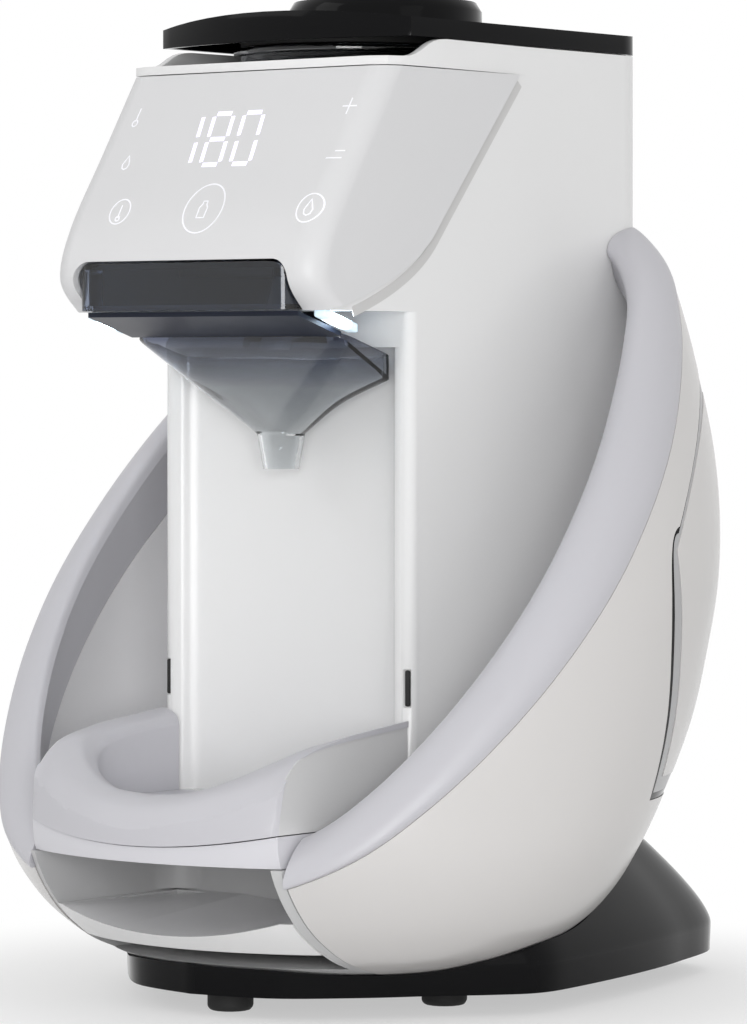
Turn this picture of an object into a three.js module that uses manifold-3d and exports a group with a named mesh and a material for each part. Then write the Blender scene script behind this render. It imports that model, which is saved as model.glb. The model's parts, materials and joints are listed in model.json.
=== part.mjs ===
// Baby formula maker: an egg-shaped bowl on a flared black base, a tall tower
// standing in it, and a head that juts forward over the bottle bay.
// Millimetres, +Z up, the front faces -Y, X is left and right across the machine.

import * as THREE from "three";
import { mergeVertices } from "three/addons/utils/BufferGeometryUtils.js";
import Module from "manifold-3d";

const wasm = await Module();
wasm.setup();

// Clearances and counts
const gap = 0.4;
const overrun = 30;
const shellSteps = 48;
const fineSteps = 40;
const innerSteps = 32;
const smallSteps = 24;
const roughSteps = 16;

// Egg bowl
const eggBottom = 11;
const eggTop = 302;
const eggHalfWidth = 136;
const eggHalfDepth = 121;
const eggBack = 105;
const eggWall = 3;
// Rows of height share, width share and centre line share of eggBack
const eggRowShares = [
  [0, 0.32, 0.2],
  [0.012, 0.5, 0.2],
  [0.03, 0.62, 0.2],
  [0.065, 0.745, 0.2],
  [0.103, 0.83, 0.2],
  [0.168, 0.915, 0.21],
  [0.237, 0.958, 0.27],
  [0.323, 0.988, 0.36],
  [0.409, 0.995, 0.44],
  [0.495, 0.985, 0.53],
  [0.581, 0.949, 0.62],
  [0.667, 0.893, 0.705],
  [0.753, 0.816, 0.79],
  [0.835, 0.732, 0.875],
  [0.89, 0.665, 0.93],
  [0.931, 0.588, 0.965],
  [0.959, 0.515, 0.985],
  [0.983, 0.404, 1],
  [1, 0.28, 1],
];

// Everything in and on the tower follows its width
const towerWidthShare = 0.441;
const towerHalfWidth = eggHalfWidth * towerWidthShare;

// Rim of the bowl: a slanted plane, with a padded bezel round it
const rimHeight = 125;
const rimSlope = 1.04;
const bezelFront = 13;
const bezelSide = 30;
const bezelBack = 23;
const bezelThickness = 14;
const bezelBulge = 1.5;
const bezelSkirt = 13;
const bezelTuck = 1.6;
const linerWall = 2.4;

// Removable cover on the back of the bowl
const coverLow = 62;
const coverHigh = 232;
const coverFront = 61;
const coverWaist = 70;
const coverKneeShare = 0.6235;
const coverKneeHeight = coverLow + coverKneeShare * (coverHigh - coverLow);
const coverTopBack = 134;
const grooveWidth = 2.6;
const trimInset = 1.2;

// Front channel that holds the shelf, the cavity under it and the drip tray
const channelPlay = 0.6;
const channelHalfWidth = towerHalfWidth + channelPlay;
const jambWidth = 4;
const openingHalfWidth = channelHalfWidth - jambWidth;
const openingBottom = 15;

// Tower, whose heights are counted down from its top
const towerBack = 152;
const towerRise = 54;
const towerTop = eggTop + towerRise;
const towerWall = 3;
const towerFrontRadius = 4;
const towerBackRadius = 20;
const ledgeDrop = 7.4;
const ledgeTop = towerTop - ledgeDrop;
const ledgeStart = -9;
const ledgeEnd = 17;
const bayCheek = 9;
const bayHalfWidth = towerHalfWidth - bayCheek;
const bayDepth = 14;

// Head: the front of the tower that juts out, dressed by the visor
const headTopDrop = 11;
const headHeight = 89;
const headTopHeight = towerTop - headTopDrop;
const headBottomHeight = headTopHeight - headHeight;
const headBottomFront = -50.4;
const headNoseRise = 12;
const headNoseHeight = headBottomHeight + headNoseRise;
const headNoseFront = -60.4;
const headMidRise = 19;
const headMidHeight = headNoseHeight + headMidRise;
const headMidFront = -54.8;
const headTopFront = -18;
const headBack = 70;
const passageDrop = 6;
const passageBottom = headBottomHeight - passageDrop;
const underLipDrop = 0.5;
const underDrop = 12.5;
const underLipHeight = headBottomHeight - underLipDrop;
const underLipFront = -49;
const underRootHeight = underLipHeight - underDrop;
const underRootFront = -7;
const underFillet = 14;
const visorWall = 2.8;
const visorRadius = 10;
const seamTopY = 62;
const seamKneeY = 12;
const seamKneeHeight = headMidHeight - gap;
const notchInset = 10;
const notchHalfWidth = towerHalfWidth - notchInset;
const notchFlare = 8;
const notchRise = 18.5;
const notchTop = headBottomHeight + notchRise;
const notchBack = -45.5;
const feedHalfWidth = 20;
const feedFront = -38;
const feedBack = 4;
const feedWall = 2.5;
const chuteWall = 1.4;

// Lamps under the head
const lampInset = 5.6;
const lampX = towerHalfWidth - lampInset;
const lampHalfWidth = 2.6;
const lampFront = -46;
const lampBack = -27;
const lampDepth = 2.4;

// Funnel
const funnelPlay = 1;
const funnelHalfWidth = bayHalfWidth - funnelPlay;
const flangeFront = -53;
const funnelFront = -29.5;
const funnelBack = 4.4;
const funnelWall = 1.8;
const funnelRim = 9;
const funnelRimFront = 1;
const cornerPower = 12;
const middleShare = 0.45;
const coneDrop = 32;
const coneHeight = underRootHeight - coneDrop;
const coneRadius = 9;
const spoutRadius = 6.8;
const spoutLength = 13;
const spoutBottom = coneHeight - spoutLength;
const spoutY = -2;
const lipPlay = 1.2;
const lipHalfWidth = notchHalfWidth - lipPlay;
const lipCorner = 8;
const lipFront = -57;
const lipBack = -46.4;
const lipTopPlay = 0.9;
const lipTop = notchTop - lipTopPlay;

// Lid
const lidPlay = 0.6;
const lidThickness = 10.8;
const lidBottom = towerTop + lidPlay;
const lidTop = lidBottom + lidThickness;
const lidCrown = 3.8;
const lidWall = 2.6;
const lidFront = -12;
const lidShoulder = 0;
const dishY = 60;
const dishRadius = 37;
const dishRise = 7.2;
const dishDepth = 5.1;
const dishTop = lidTop + dishRise;
const dishFloor = dishTop - dishDepth;
const sealWidth = 3;

// Powder hopper
const hopperFront = -3;
const hopperRadius = 41;
const hopperY = hopperFront + hopperRadius;
const hopperWall = 2;
const hopperDepth = 71.4;
const hopperTop = towerTop - lidPlay;
const hopperBottom = hopperTop - hopperDepth;
const hopperRim = 2.6;
const platePlay = 2.4;
const plateHoleRadius = hopperRadius + hopperRim + platePlay;
const outletRadius = 7;
const shaftRadius = 3.2;
const bladeThickness = 2.4;
const bladeHeight = 6;
const wheelThickness = 7;
const wheelBottom = hopperBottom + hopperWall + 2.5 * gap;
const wheelTop = wheelBottom + wheelThickness;
const stirrerHeight = 40;
const stirrerTop = wheelTop + stirrerHeight;
const wheelPlay = 1;
const wheelRadius = hopperRadius - hopperWall - wheelPlay;
const outletInset = 8;
const outletReach = wheelRadius - outletInset;
const stirrerInset = 3;
const stirrerReach = wheelRadius - stirrerInset;
const pocketCount = 8;
const pocketRadius = 6;

// Gear drive under the hopper
const gearThickness = 5;
const gearTop = hopperBottom - 3.5 * gap;
const gearBottom = gearTop - gearThickness;
const gearModule = 1.6;
const driveTeeth = 24;
const pinionTeeth = 12;
const toothPlay = 0.35;
const deckThickness = 3;
const deckDrop = 4.6;
const deckTop = gearBottom - deckDrop;
const deckBottom = deckTop - deckThickness;
const motorHeight = 34;
const motorRadius = 12;

// Water tank, high enough above the pump for its hose
const pumpBottom = 62;
const pumpHeight = 50;
const pumpTop = pumpBottom + pumpHeight;
const tankInset = 6;
const tankHalfWidth = towerHalfWidth - tankInset;
const tankSpace = 6.4;
const tankFront = hopperY + hopperRadius + hopperRim + tankSpace;
const tankBack = 146.5;
const tankTopDrop = 1;
const tankLift = 38;
const tankTop = towerTop - tankTopDrop;
const tankBottom = pumpTop + tankLift;
const tankWall = 2;
const tankY = (tankFront + tankBack) / 2;
const tankNeckRadius = 8;
const tankNeckBottom = tankBottom - tankNeckRadius;
const socketHeight = 12;

// Water path and electronics
const pumpX = -26;
const pumpRadius = 16;
const heaterX = 24;
const heaterRadius = 17;
const heaterRise = 16;
const heaterTop = pumpTop + heaterRise;
const heaterRings = 3;
const machineSpace = 12;
const machineY = tankFront - machineSpace;
const traySheet = 3;
const tubeRadius = 3;
const boardThickness = 1.6;
const boardWidth = 84;
const boardHeight = 90;
const boardBottom = 64;
const boardY = 40;

// Bottle shelf
const shelfPlay = 1.2;
const shelfHalfWidth = channelHalfWidth - shelfPlay;
const beltHeight = 64.6;
const beltRise = 6;
const shelfFloor = 76;
const shelfBottom = 70;
const holeRound = 3;
// Rows from the middle of the front to the tower: x, y and height of the edge of the
// well, of the crown beyond it and of the outer edge, with the height halfway out last.
// They are for a shelf of this half width in a bowl of this half depth
const shelfRowHalfWidth = 59.4;
const shelfRowHalfDepth = 121;
const shelfRows = [
  [[0, -71.5, 81], [0, -77, 82], [0, -89.5, 67], 79],
  [[17, -70.4, 82.3], [18, -76, 83.4], [19, -88.5, 68.5], 80.4],
  [[31, -65.5, 87], [33.5, -71, 88.2], [38, -84, 72.5], 85],
  [[42, -57, 92.7], [46, -63.5, 94.3], [54, -79, 77], 90.5],
  [[48.7, -46, 97.2], [53, -52.5, 99.4], [61, -66, 93.5], 98.4],
  [[51, -33, 100], [55, -36, 102], [61, -42, 102], 102.4],
  [[51.3, -17, 102], [55, -18, 104], [61, -20, 104.8], 104.8],
  [[51.3, -0.8, 103.2], [55, -0.8, 105.6], [61, -0.8, 107], 106.6],
];
const skirtBottom = 58.5;
const skirtInset = 2.2;
const skirtWall = 2.6;
const tongueX = 40;
const tongueHalfWidth = 6;
const tongueHeight = 4.6;
const tongueReach = 7;
const slotInset = 2.4;
const slotX = towerHalfWidth - slotInset;
const slotHalfWidth = 1.4;
const slotLow = 111.5;
const slotHigh = 125.5;
const slotDepth = 2.2;

// Drip tray
const trayPlay = 0.6;
const trayHalfWidth = openingHalfWidth - trayPlay;
const trayBottom = 25.6;
const trayTop = 38;
const trayDip = 8;
const trayTilt = 4.8;
const trayBack = 3;
const trayFoot = 19.5;
const gripInset = 8;
const trayWall = 4;
const bayWall = 2.6;
const bayFloor = 15.6;

// Base and feet
const baseBottom = 8;
const plateTop = 16.5;
const baseWall = 3;
const tailBack = 192;
// Outline from the middle of the front to the middle of the back, as width share of the
// bowl's half width and depth share of tailBack
const outlineShares = [
  [0, -0.2812],
  [0.2353, -0.2396],
  [0.4191, -0.125],
  [0.5441, -0.0156],
  [0.6471, 0.0625],
  [0.7206, 0.1458],
  [0.7206, 0.2708],
  [0.6765, 0.5104],
  [0.6103, 0.7188],
  [0.4963, 0.9375],
  [0.25, 0.9948],
  [0, 1],
];
const tailTop = 70;
const tailCentre = 80;
const tailReach = 112;
// Rows of height share above the plate and size share of the outline
const tailRowShares = [
  [0, 1],
  [0.08, 0.997],
  [0.2, 0.966],
  [0.35, 0.91],
  [0.51, 0.84],
  [0.69, 0.752],
  [0.84, 0.66],
  [1, 0.53],
];
const footPlaces = {
  foot_front: [0, -31],
  foot_left: [-52, 30],
  foot_right: [52, 30],
  foot_rear_left: [-45, 150],
  foot_rear_right: [45, 150],
};
const footRadius = 8.5;
const footHeight = 9.4;
const footPocket = 1.8;
const inletHalfWidth = 13;
const inletBottom = 14;
const inletTop = 27;
const inletDepth = 16;
const inletSetback = 6;

const whitePlastic = { color: 0xe9e8ea, roughness: 0.35, metalness: 0 };
const greyPlastic = { color: 0xcfcdd6, roughness: 0.45, metalness: 0 };
const darkGrey = { color: 0x6f6f72, roughness: 0.5, metalness: 0 };
const blackGloss = { color: 0x0c0c0e, roughness: 0.12, metalness: 0 };
const smoke = { color: 0x3a3d42, roughness: 0.08, metalness: 0, transparent: true, opacity: 0.5 };
const clear = { color: 0xdfe6ea, roughness: 0.1, metalness: 0, transparent: true, opacity: 0.4 };
const rubber = { color: 0x1b1b1d, roughness: 0.8, metalness: 0 };
const steel = { color: 0xb9bcc0, roughness: 0.3, metalness: 1 };
const boardGreen = { color: 0x1f5a3a, roughness: 0.6, metalness: 0 };
const lampLight = { color: 0xe8f6ff, roughness: 0.3, metalness: 0 };

const product = new THREE.Group();

function toSolid(geometry) {
  const bare = geometry.index ? geometry.toNonIndexed() : geometry.clone();
  bare.deleteAttribute("normal");
  bare.deleteAttribute("uv");
  const merged = mergeVertices(bare, 1e-4);
  return new wasm.Manifold(new wasm.Mesh({
    numProp: 3,
    vertProperties: merged.attributes.position.array,
    triVerts: new Uint32Array(merged.index.array),
  }));
}

function addPart(name, solid, look) {
  const data = solid.getMesh();
  const places = new Float32Array(data.numVert * 3);
  for (let i = 0; i < data.numVert; i += 1) {
    places.set(data.vertProperties.subarray(i * data.numProp, i * data.numProp + 3), i * 3);
  }
  const geometry = new THREE.BufferGeometry();
  geometry.setAttribute("position", new THREE.BufferAttribute(places, 3));
  geometry.setIndex(new THREE.BufferAttribute(data.triVerts, 1));
  geometry.computeVertexNormals();
  const mesh = new THREE.Mesh(geometry, new THREE.MeshStandardMaterial(look));
  mesh.name = name;
  product.add(mesh);
  return mesh;
}

// Loops are arrays of points with equal counts, counter-clockwise seen from above
function loftGeometry(loops, capped) {
  const count = loops[0].length;
  const places = loops.flat().flatMap((p) => [p.x, p.y, p.z]);
  const faces = [];
  const rows = capped ? loops.length - 1 : loops.length;
  for (let row = 0; row < rows; row += 1) {
    const low = row * count;
    const high = ((row + 1) % loops.length) * count;
    for (let i = 0; i < count; i += 1) {
      const next = (i + 1) % count;
      faces.push(low + i, low + next, high + next);
      faces.push(low + i, high + next, high + i);
    }
  }
  if (capped) {
    const last = (loops.length - 1) * count;
    const flat = (loop) => loop.map((p) => new THREE.Vector2(p.x, p.y));
    for (const [a, b, c] of THREE.ShapeUtils.triangulateShape(flat(loops[0]), [])) {
      faces.push(a, c, b);
    }
    for (const [a, b, c] of THREE.ShapeUtils.triangulateShape(flat(loops[loops.length - 1]), [])) {
      faces.push(last + a, last + b, last + c);
    }
  }
  const geometry = new THREE.BufferGeometry();
  geometry.setAttribute("position", new THREE.Float32BufferAttribute(places, 3));
  geometry.setIndex(faces);
  return geometry;
}

const loft = (loops) => toSolid(loftGeometry(loops, true));
const ringLoft = (loops) => toSolid(loftGeometry(loops, false));

// A profile in Y and Z drawn as a shape, pulled out along X
function pullX(shape, left, right, steps = 8) {
  const geometry = new THREE.ExtrudeGeometry(shape, {
    depth: right - left, bevelEnabled: false, curveSegments: steps,
  });
  geometry.applyMatrix4(new THREE.Matrix4().set(0, 0, 1, left, 1, 0, 0, 0, 0, 1, 0, 0, 0, 0, 0, 1));
  return toSolid(geometry);
}

function pullZ(shape, bottom, top, steps = 8) {
  const geometry = new THREE.ExtrudeGeometry(shape, {
    depth: top - bottom, bevelEnabled: false, curveSegments: steps,
  });
  geometry.translate(0, 0, bottom);
  return toSolid(geometry);
}

function block(left, right, front, back, bottom, top) {
  const geometry = new THREE.BoxGeometry(right - left, back - front, top - bottom);
  geometry.translate((left + right) / 2, (front + back) / 2, (bottom + top) / 2);
  return toSolid(geometry);
}

function turned(points, steps = smallSteps) {
  const geometry = new THREE.LatheGeometry(points.map(([r, z]) => new THREE.Vector2(r, z)), steps);
  geometry.rotateX(Math.PI / 2);
  return toSolid(geometry);
}

function disc(radius, bottom, top, x = 0, y = 0, steps = smallSteps) {
  return moved(turned([[0, bottom], [radius, bottom], [radius, top], [0, top]], steps), x, y, 0);
}

function moved(solid, x, y, z) {
  return solid.translate([x, y, z]);
}

// Rounded rectangle in plan with its own radii at the front and the back
function plan(halfWidth, front, back, frontRadius, backRadius) {
  const shape = new THREE.Shape();
  shape.moveTo(-halfWidth + frontRadius, front);
  shape.lineTo(halfWidth - frontRadius, front);
  shape.absarc(halfWidth - frontRadius, front + frontRadius, frontRadius, -Math.PI / 2, 0);
  shape.lineTo(halfWidth, back - backRadius);
  shape.absarc(halfWidth - backRadius, back - backRadius, backRadius, 0, Math.PI / 2);
  shape.lineTo(-halfWidth + backRadius, back);
  shape.absarc(-halfWidth + backRadius, back - backRadius, backRadius, Math.PI / 2, Math.PI);
  shape.lineTo(-halfWidth, front + frontRadius);
  shape.absarc(-halfWidth + frontRadius, front + frontRadius, frontRadius, Math.PI, 1.5 * Math.PI);
  return shape;
}

function loopAt(shape, z, steps = 6) {
  const drawn = shape.getPoints(steps);
  const points = drawn.filter((p, i) => p.distanceTo(drawn[(i + 1) % drawn.length]) > gap / 10);
  return points.map((p) => new THREE.Vector3(p.x, p.y, typeof z === "function" ? z(p) : z));
}

// Egg surface
const everywhere = eggHalfWidth + 2 * overrun;
const eggHeight = eggTop - eggBottom;
const eggTable = new THREE.CubicInterpolant(
  Float64Array.from(eggRowShares, (row) => row[0]),
  Float64Array.from(eggRowShares.flatMap((row) => row.slice(1))),
  2,
  new Float64Array(2),
);

function eggSection(z, inset) {
  const low = eggBottom + inset;
  const high = eggTop - inset;
  const share = Math.min(1, Math.max(0, (z - low) / (high - low)));
  const [width, centre] = eggTable.evaluate(share);
  return {
    y: centre * eggBack,
    halfWidth: width * (eggHalfWidth - inset),
    halfDepth: width * (eggHalfDepth - inset),
  };
}

function eggPoint(angle, z, inset) {
  const { y, halfWidth, halfDepth } = eggSection(z, inset);
  return new THREE.Vector3(halfWidth * Math.sin(angle), y - halfDepth * Math.cos(angle), z);
}

function eggSolid(inset, steps = innerSteps) {
  const low = eggBottom + inset;
  const high = eggTop - inset;
  const loops = eggRowShares.map(([share]) => {
    const z = low + share * (high - low);
    return Array.from({ length: steps }, (_, i) => eggPoint((2 * Math.PI * i) / steps, z, inset));
  });
  return loft(loops);
}

const rimFrontAt = (z) => (z - rimHeight) / rimSlope;

// Everything in front of the rim plane, which is moved forward by shift
function aboveRim(shift) {
  const shape = new THREE.Shape();
  const bottom = eggBottom - overrun;
  const top = towerTop + 2 * overrun;
  shape.moveTo(rimFrontAt(bottom) - shift, bottom);
  shape.lineTo(rimFrontAt(top) - shift, top);
  shape.lineTo(-everywhere, top);
  shape.lineTo(-everywhere, bottom);
  return pullX(shape, -everywhere, everywhere);
}

// Point where the egg surface, inset, meets the shifted rim plane at an angle round the egg
function rimPoint(angle, shift, inset) {
  let low = eggBottom + inset;
  let high = eggTop - inset;
  for (let i = 0; i < 40; i += 1) {
    const middle = (low + high) / 2;
    if (eggPoint(angle, middle, inset).y > rimFrontAt(middle) - shift) low = middle;
    else high = middle;
  }
  return eggPoint(angle, (low + high) / 2, inset);
}

const egg = eggSolid(0, shellSteps);

// A profile in X and Z drawn as a shape, pulled out along Y
function pullY(shape, front, back, steps = 8) {
  const geometry = new THREE.ExtrudeGeometry(shape, {
    depth: back - front, bevelEnabled: false, curveSegments: steps,
  });
  geometry.rotateX(Math.PI / 2);
  geometry.translate(0, back, 0);
  return toSolid(geometry);
}

function outline(points) {
  return new THREE.Shape(points.map(([a, b]) => new THREE.Vector2(a, b)));
}

function tube(points, radius, steps = 12, sides = 4) {
  const path = new THREE.CatmullRomCurve3(points.map((p) => new THREE.Vector3(...p)));
  const section = new THREE.Shape();
  section.absarc(0, 0, radius, 0, 2 * Math.PI);
  return toSolid(new THREE.ExtrudeGeometry(section, {
    steps, extrudePath: path, bevelEnabled: false, curveSegments: sides,
  }));
}

// Outer bowl
// Side view region behind the groove that outlines the rear cover
function coverRegion(grow) {
  const shape = new THREE.Shape();
  shape.moveTo(coverFront - grow, coverLow - grow);
  shape.lineTo(coverFront - grow, (coverLow + coverKneeHeight) / 2);
  shape.quadraticCurveTo(
    coverFront - grow, coverKneeHeight, coverWaist + grow / 2, coverKneeHeight + grow,
  );
  shape.quadraticCurveTo(coverTopBack - overrun, coverHigh - overrun / 2, coverTopBack, coverHigh + grow);
  shape.lineTo(eggBack + everywhere, coverHigh + grow);
  shape.lineTo(eggBack + everywhere, coverLow - grow);
  return pullX(shape, -everywhere, everywhere, 8);
}

function frontOpening(back) {
  return block(-channelHalfWidth, channelHalfWidth, -everywhere, back, openingBottom, eggTop);
}

// Room that the tower's upper part takes out of the bezel and the liner behind it
function towerPassage(grow) {
  return pullZ(plan(
    towerHalfWidth + grow, 0, towerBack + grow, towerFrontRadius, towerBackRadius,
  ), passageBottom, towerTop, 6);
}

const shellBlank = egg.subtract(eggSolid(eggWall)).subtract(aboveRim(0));

function makeShell() {
  return shellBlank.subtract(frontOpening(trayBack + bayWall + 2 * gap)).subtract(coverRegion(grooveWidth));
}

function makeCover() {
  return shellBlank.intersect(coverRegion(0));
}

function makeCoverTrim() {
  const band = eggSolid(trimInset, shellSteps).subtract(eggSolid(eggWall));
  return band.subtract(aboveRim(0))
    .intersect(coverRegion(grooveWidth - gap))
    .subtract(coverRegion(gap));
}

function bezelWidth(angle) {
  const back = (1 - Math.cos(angle)) / 2;
  const ends = bezelFront + (bezelBack - bezelFront) * back;
  return ends + (bezelSide - (bezelFront + bezelBack) / 2) * Math.sin(angle) ** 2;
}

function makeBezel() {
  const stations = shellSteps + smallSteps / 3;
  const loops = Array.from({ length: stations }, (_, i) => {
    const angle = (-2 * Math.PI * i) / stations;
    const width = bezelWidth(angle);
    return [
      [gap, 0],
      [0.3 * width, -bezelBulge],
      [0.65 * width, -0.5 * bezelBulge],
      [0.9 * width, 0.2 * bezelThickness],
      [width, 0.5 * bezelThickness],
      [0.93 * width, 0.8 * bezelThickness],
      [0.7 * width, bezelThickness],
      [-bezelSkirt, bezelThickness + linerWall],
      [-bezelSkirt, bezelThickness],
      [0, eggWall + bezelTuck],
      [gap, eggWall],
    ].map(([shift, inset]) => rimPoint(angle, shift, inset));
  });
  return ringLoft(loops).subtract(frontOpening(0)).subtract(towerPassage(gap));
}

const linerInset = bezelThickness + linerWall;

// The liner is in two halves that meet behind the tower
const liner = eggSolid(bezelThickness).subtract(eggSolid(linerInset))
  .subtract(aboveRim(-bezelSkirt - gap)).subtract(towerPassage(gap))
  .subtract(block(-channelHalfWidth, channelHalfWidth, -everywhere, bayDepth, 0, eggTop));

function makeLiner(side) {
  const middle = (side * everywhere) / 2;
  const half = (everywhere - gap) / 2;
  return liner.intersect(block(
    middle - half, middle + half, -everywhere, everywhere + eggBack, 0, eggTop,
  ));
}

// Head: front surface against height, with a nose low down
const headCurve = new THREE.SplineCurve([
  new THREE.Vector2(headBottomFront, headBottomHeight),
  new THREE.Vector2(headNoseFront, headNoseHeight),
  new THREE.Vector2(headMidFront, headMidHeight),
  new THREE.Vector2((headMidFront + headTopFront) / 2, (headMidHeight + headTopHeight) / 2),
  new THREE.Vector2(headTopFront, headTopHeight),
]);

const visorHalfWidth = towerHalfWidth + visorWall + gap;

function headBlock(inset) {
  const loops = headCurve.getPoints(10).map((point) => {
    const shape = plan(
      visorHalfWidth - inset, point.x + inset, headBack, visorRadius - inset, visorRadius - inset,
    );
    return loopAt(shape, point.y, 4);
  });
  return loft(loops);
}

// Side view region of the head that the visor covers, in front of its seam
function visorRegion(shrink) {
  const shape = new THREE.Shape();
  const top = headTopHeight + overrun;
  shape.moveTo(seamTopY - shrink, top);
  shape.lineTo(seamTopY - shrink, headTopHeight);
  shape.lineTo(seamKneeY - shrink, seamKneeHeight);
  shape.quadraticCurveTo(
    seamKneeY - underFillet - shrink, headNoseHeight, headBottomFront, headBottomHeight - gap,
  );
  shape.lineTo(headBottomFront - overrun, headBottomHeight - gap);
  shape.lineTo(headBottomFront - overrun, top);
  return pullX(shape, -everywhere, everywhere, 8);
}

function lipNotch() {
  const slant = notchFlare / (notchBack - headNoseFront);
  const wide = notchHalfWidth + slant * (notchBack - headNoseFront + overrun);
  return pullZ(outline([
    [-wide, headNoseFront - overrun],
    [wide, headNoseFront - overrun],
    [notchHalfWidth, notchBack],
    [-notchHalfWidth, notchBack],
  ]), 0, notchTop);
}

function makeVisor() {
  return headBlock(0).subtract(headBlock(visorWall)).intersect(visorRegion(0)).subtract(lipNotch());
}

const underSlope = (underLipHeight - underRootHeight) / (underRootFront - underLipFront);
const underAt = (y) => underRootHeight + (underRootFront - y) * underSlope;

// Side view region of the tower and the part of the head that hangs over
function towerRegion() {
  const shape = new THREE.Shape();
  shape.moveTo(headNoseFront - overrun, underAt(underLipFront));
  shape.lineTo(underLipFront, underAt(underLipFront));
  shape.lineTo(underRootFront - underFillet / 2, underAt(underRootFront - underFillet / 2));
  shape.quadraticCurveTo(0, underRootHeight - underFillet / 4, 0, underRootHeight - underFillet);
  shape.lineTo(0, 0);
  shape.lineTo(towerBack + overrun, 0);
  shape.lineTo(towerBack + overrun, towerTop);
  shape.lineTo(ledgeEnd, towerTop);
  shape.bezierCurveTo(
    (ledgeStart + ledgeEnd) / 2, towerTop,
    (ledgeStart + ledgeEnd) / 2, ledgeTop,
    ledgeStart, ledgeTop,
  );
  shape.lineTo(headNoseFront - overrun, ledgeTop);
  return pullX(shape, -everywhere, everywhere, 8);
}

function towerSolid(inset) {
  const upright = pullZ(plan(
    towerHalfWidth - inset, inset, towerBack - inset, towerFrontRadius, towerBackRadius - inset,
  ), 0, towerTop + overrun, 6);
  return upright.add(headBlock(visorWall + gap + inset)).add(collar(inset));
}

// Top band of the head, as wide as the visor at the front and flush with the tower further back
function collar(inset) {
  const side = visorHalfWidth - inset;
  const front = headTopFront + inset;
  return pullZ(outline([
    [-side + visorRadius, front],
    [side - visorRadius, front],
    [side - visorRadius / 4, front + visorRadius / 3],
    [side, front + visorRadius],
    [side, ledgeEnd],
    [towerHalfWidth - inset, headBack],
    [-towerHalfWidth + inset, headBack],
    [-side, ledgeEnd],
    [-side, front + visorRadius],
    [-side + visorRadius / 4, front + visorRadius / 3],
  ]), headTopHeight + gap - inset, towerTop + overrun);
}

function bayCut(depth, halfWidth, bottom, top) {
  const shape = new THREE.Shape();
  shape.absellipse(0, 0, halfWidth, depth, 0, Math.PI);
  shape.lineTo(-halfWidth, -overrun);
  shape.lineTo(halfWidth, -overrun);
  return pullZ(shape, bottom, top, 12);
}

function makeTower() {
  const free = aboveRim(0).add(towerPassage(0));
  const outside = towerSolid(0).intersect(towerRegion());
  let tower = outside.intersect(free.add(eggSolid(linerInset + gap)));
  const room = towerSolid(towerWall)
    .subtract(block(
      -everywhere, everywhere, -everywhere, towerWall, 0, underAt(underLipFront) + towerWall,
    ))
    .subtract(bayCut(bayDepth + towerWall, bayHalfWidth + towerWall, 0, underRootHeight + towerWall));
  tower = tower.subtract(room.intersect(free.add(eggSolid(linerInset + gap + towerWall))));
  tower = tower.subtract(bayCut(
    bayDepth + towerWall + gap, bayHalfWidth + towerWall + gap, shelfFloor, underRootHeight,
  ));
  tower = tower.subtract(block(
    -channelHalfWidth + gap, channelHalfWidth - gap, -overrun, trayBack + bayWall + 2 * gap,
    0, skirtBottom,
  ));
  tower = tower.subtract(lipNotch());
  tower = tower.subtract(block(
    -feedHalfWidth, feedHalfWidth, feedFront, feedBack, shelfFloor, deckBottom,
  ));
  for (const side of [-1, 1]) {
    tower = tower.subtract(lampStrip(side, gap));
    tower = tower.subtract(block(
      side * slotX - slotHalfWidth, side * slotX + slotHalfWidth, -gap, slotDepth, slotLow, slotHigh,
    ));
    tower = tower.subtract(block(
      side * tongueX - tongueHalfWidth - gap, side * tongueX + tongueHalfWidth + gap,
      -overrun, overrun, tongueBottom - gap, tongueBottom + tongueHeight + gap,
    ));
  }
  return tower;
}

// Curved wall at the back of the bottle bay
function makeBayWall() {
  const outer = bayCut(
    bayDepth + towerWall, bayHalfWidth + towerWall, shelfFloor + gap, underRootHeight - gap,
  );
  return outer.subtract(bayCut(bayDepth, bayHalfWidth, 0, towerTop))
    .intersect(towerSolid(0)).intersect(towerRegion());
}

// Plate in the top of the head, in front of the lid and round the powder hopper
function makeTopPlate() {
  const layer = block(-everywhere, everywhere, -everywhere, ledgeEnd, ledgeTop - towerWall, ledgeTop);
  return collar(towerWall + gap).intersect(layer)
    .subtract(disc(plateHoleRadius, 0, towerTop, 0, hopperY, roughSteps));
}

// Strip of light let into the underside of the head
function lampStrip(side, grow) {
  const profile = outline([
    [lampFront - grow, underAt(lampFront - grow) - lampDepth / 3],
    [lampBack + grow, underAt(lampBack + grow) - lampDepth / 3],
    [lampBack + grow, underAt(lampBack + grow) + lampDepth + grow],
    [lampFront - grow, underAt(lampFront - grow) + lampDepth + grow],
  ]);
  return pullX(profile, side * lampX - lampHalfWidth - grow, side * lampX + lampHalfWidth + grow);
}

// Squarish loop for a high power, an ellipse for 2
function funnelLoop(halfWidth, front, back, power, z) {
  const centre = (front + back) / 2;
  const halfDepth = (back - front) / 2;
  const bend = (value) => Math.sign(value) * Math.abs(value) ** (2 / power);
  return Array.from({ length: fineSteps }, (_, i) => {
    const angle = (2 * Math.PI * i) / fineSteps;
    const x = halfWidth * bend(Math.sin(angle));
    const y = centre - halfDepth * bend(Math.cos(angle));
    return new THREE.Vector3(x, y, typeof z === "function" ? z(y) : z);
  });
}

const funnelTop = (y) => underAt(y) - 2 * gap;

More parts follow.
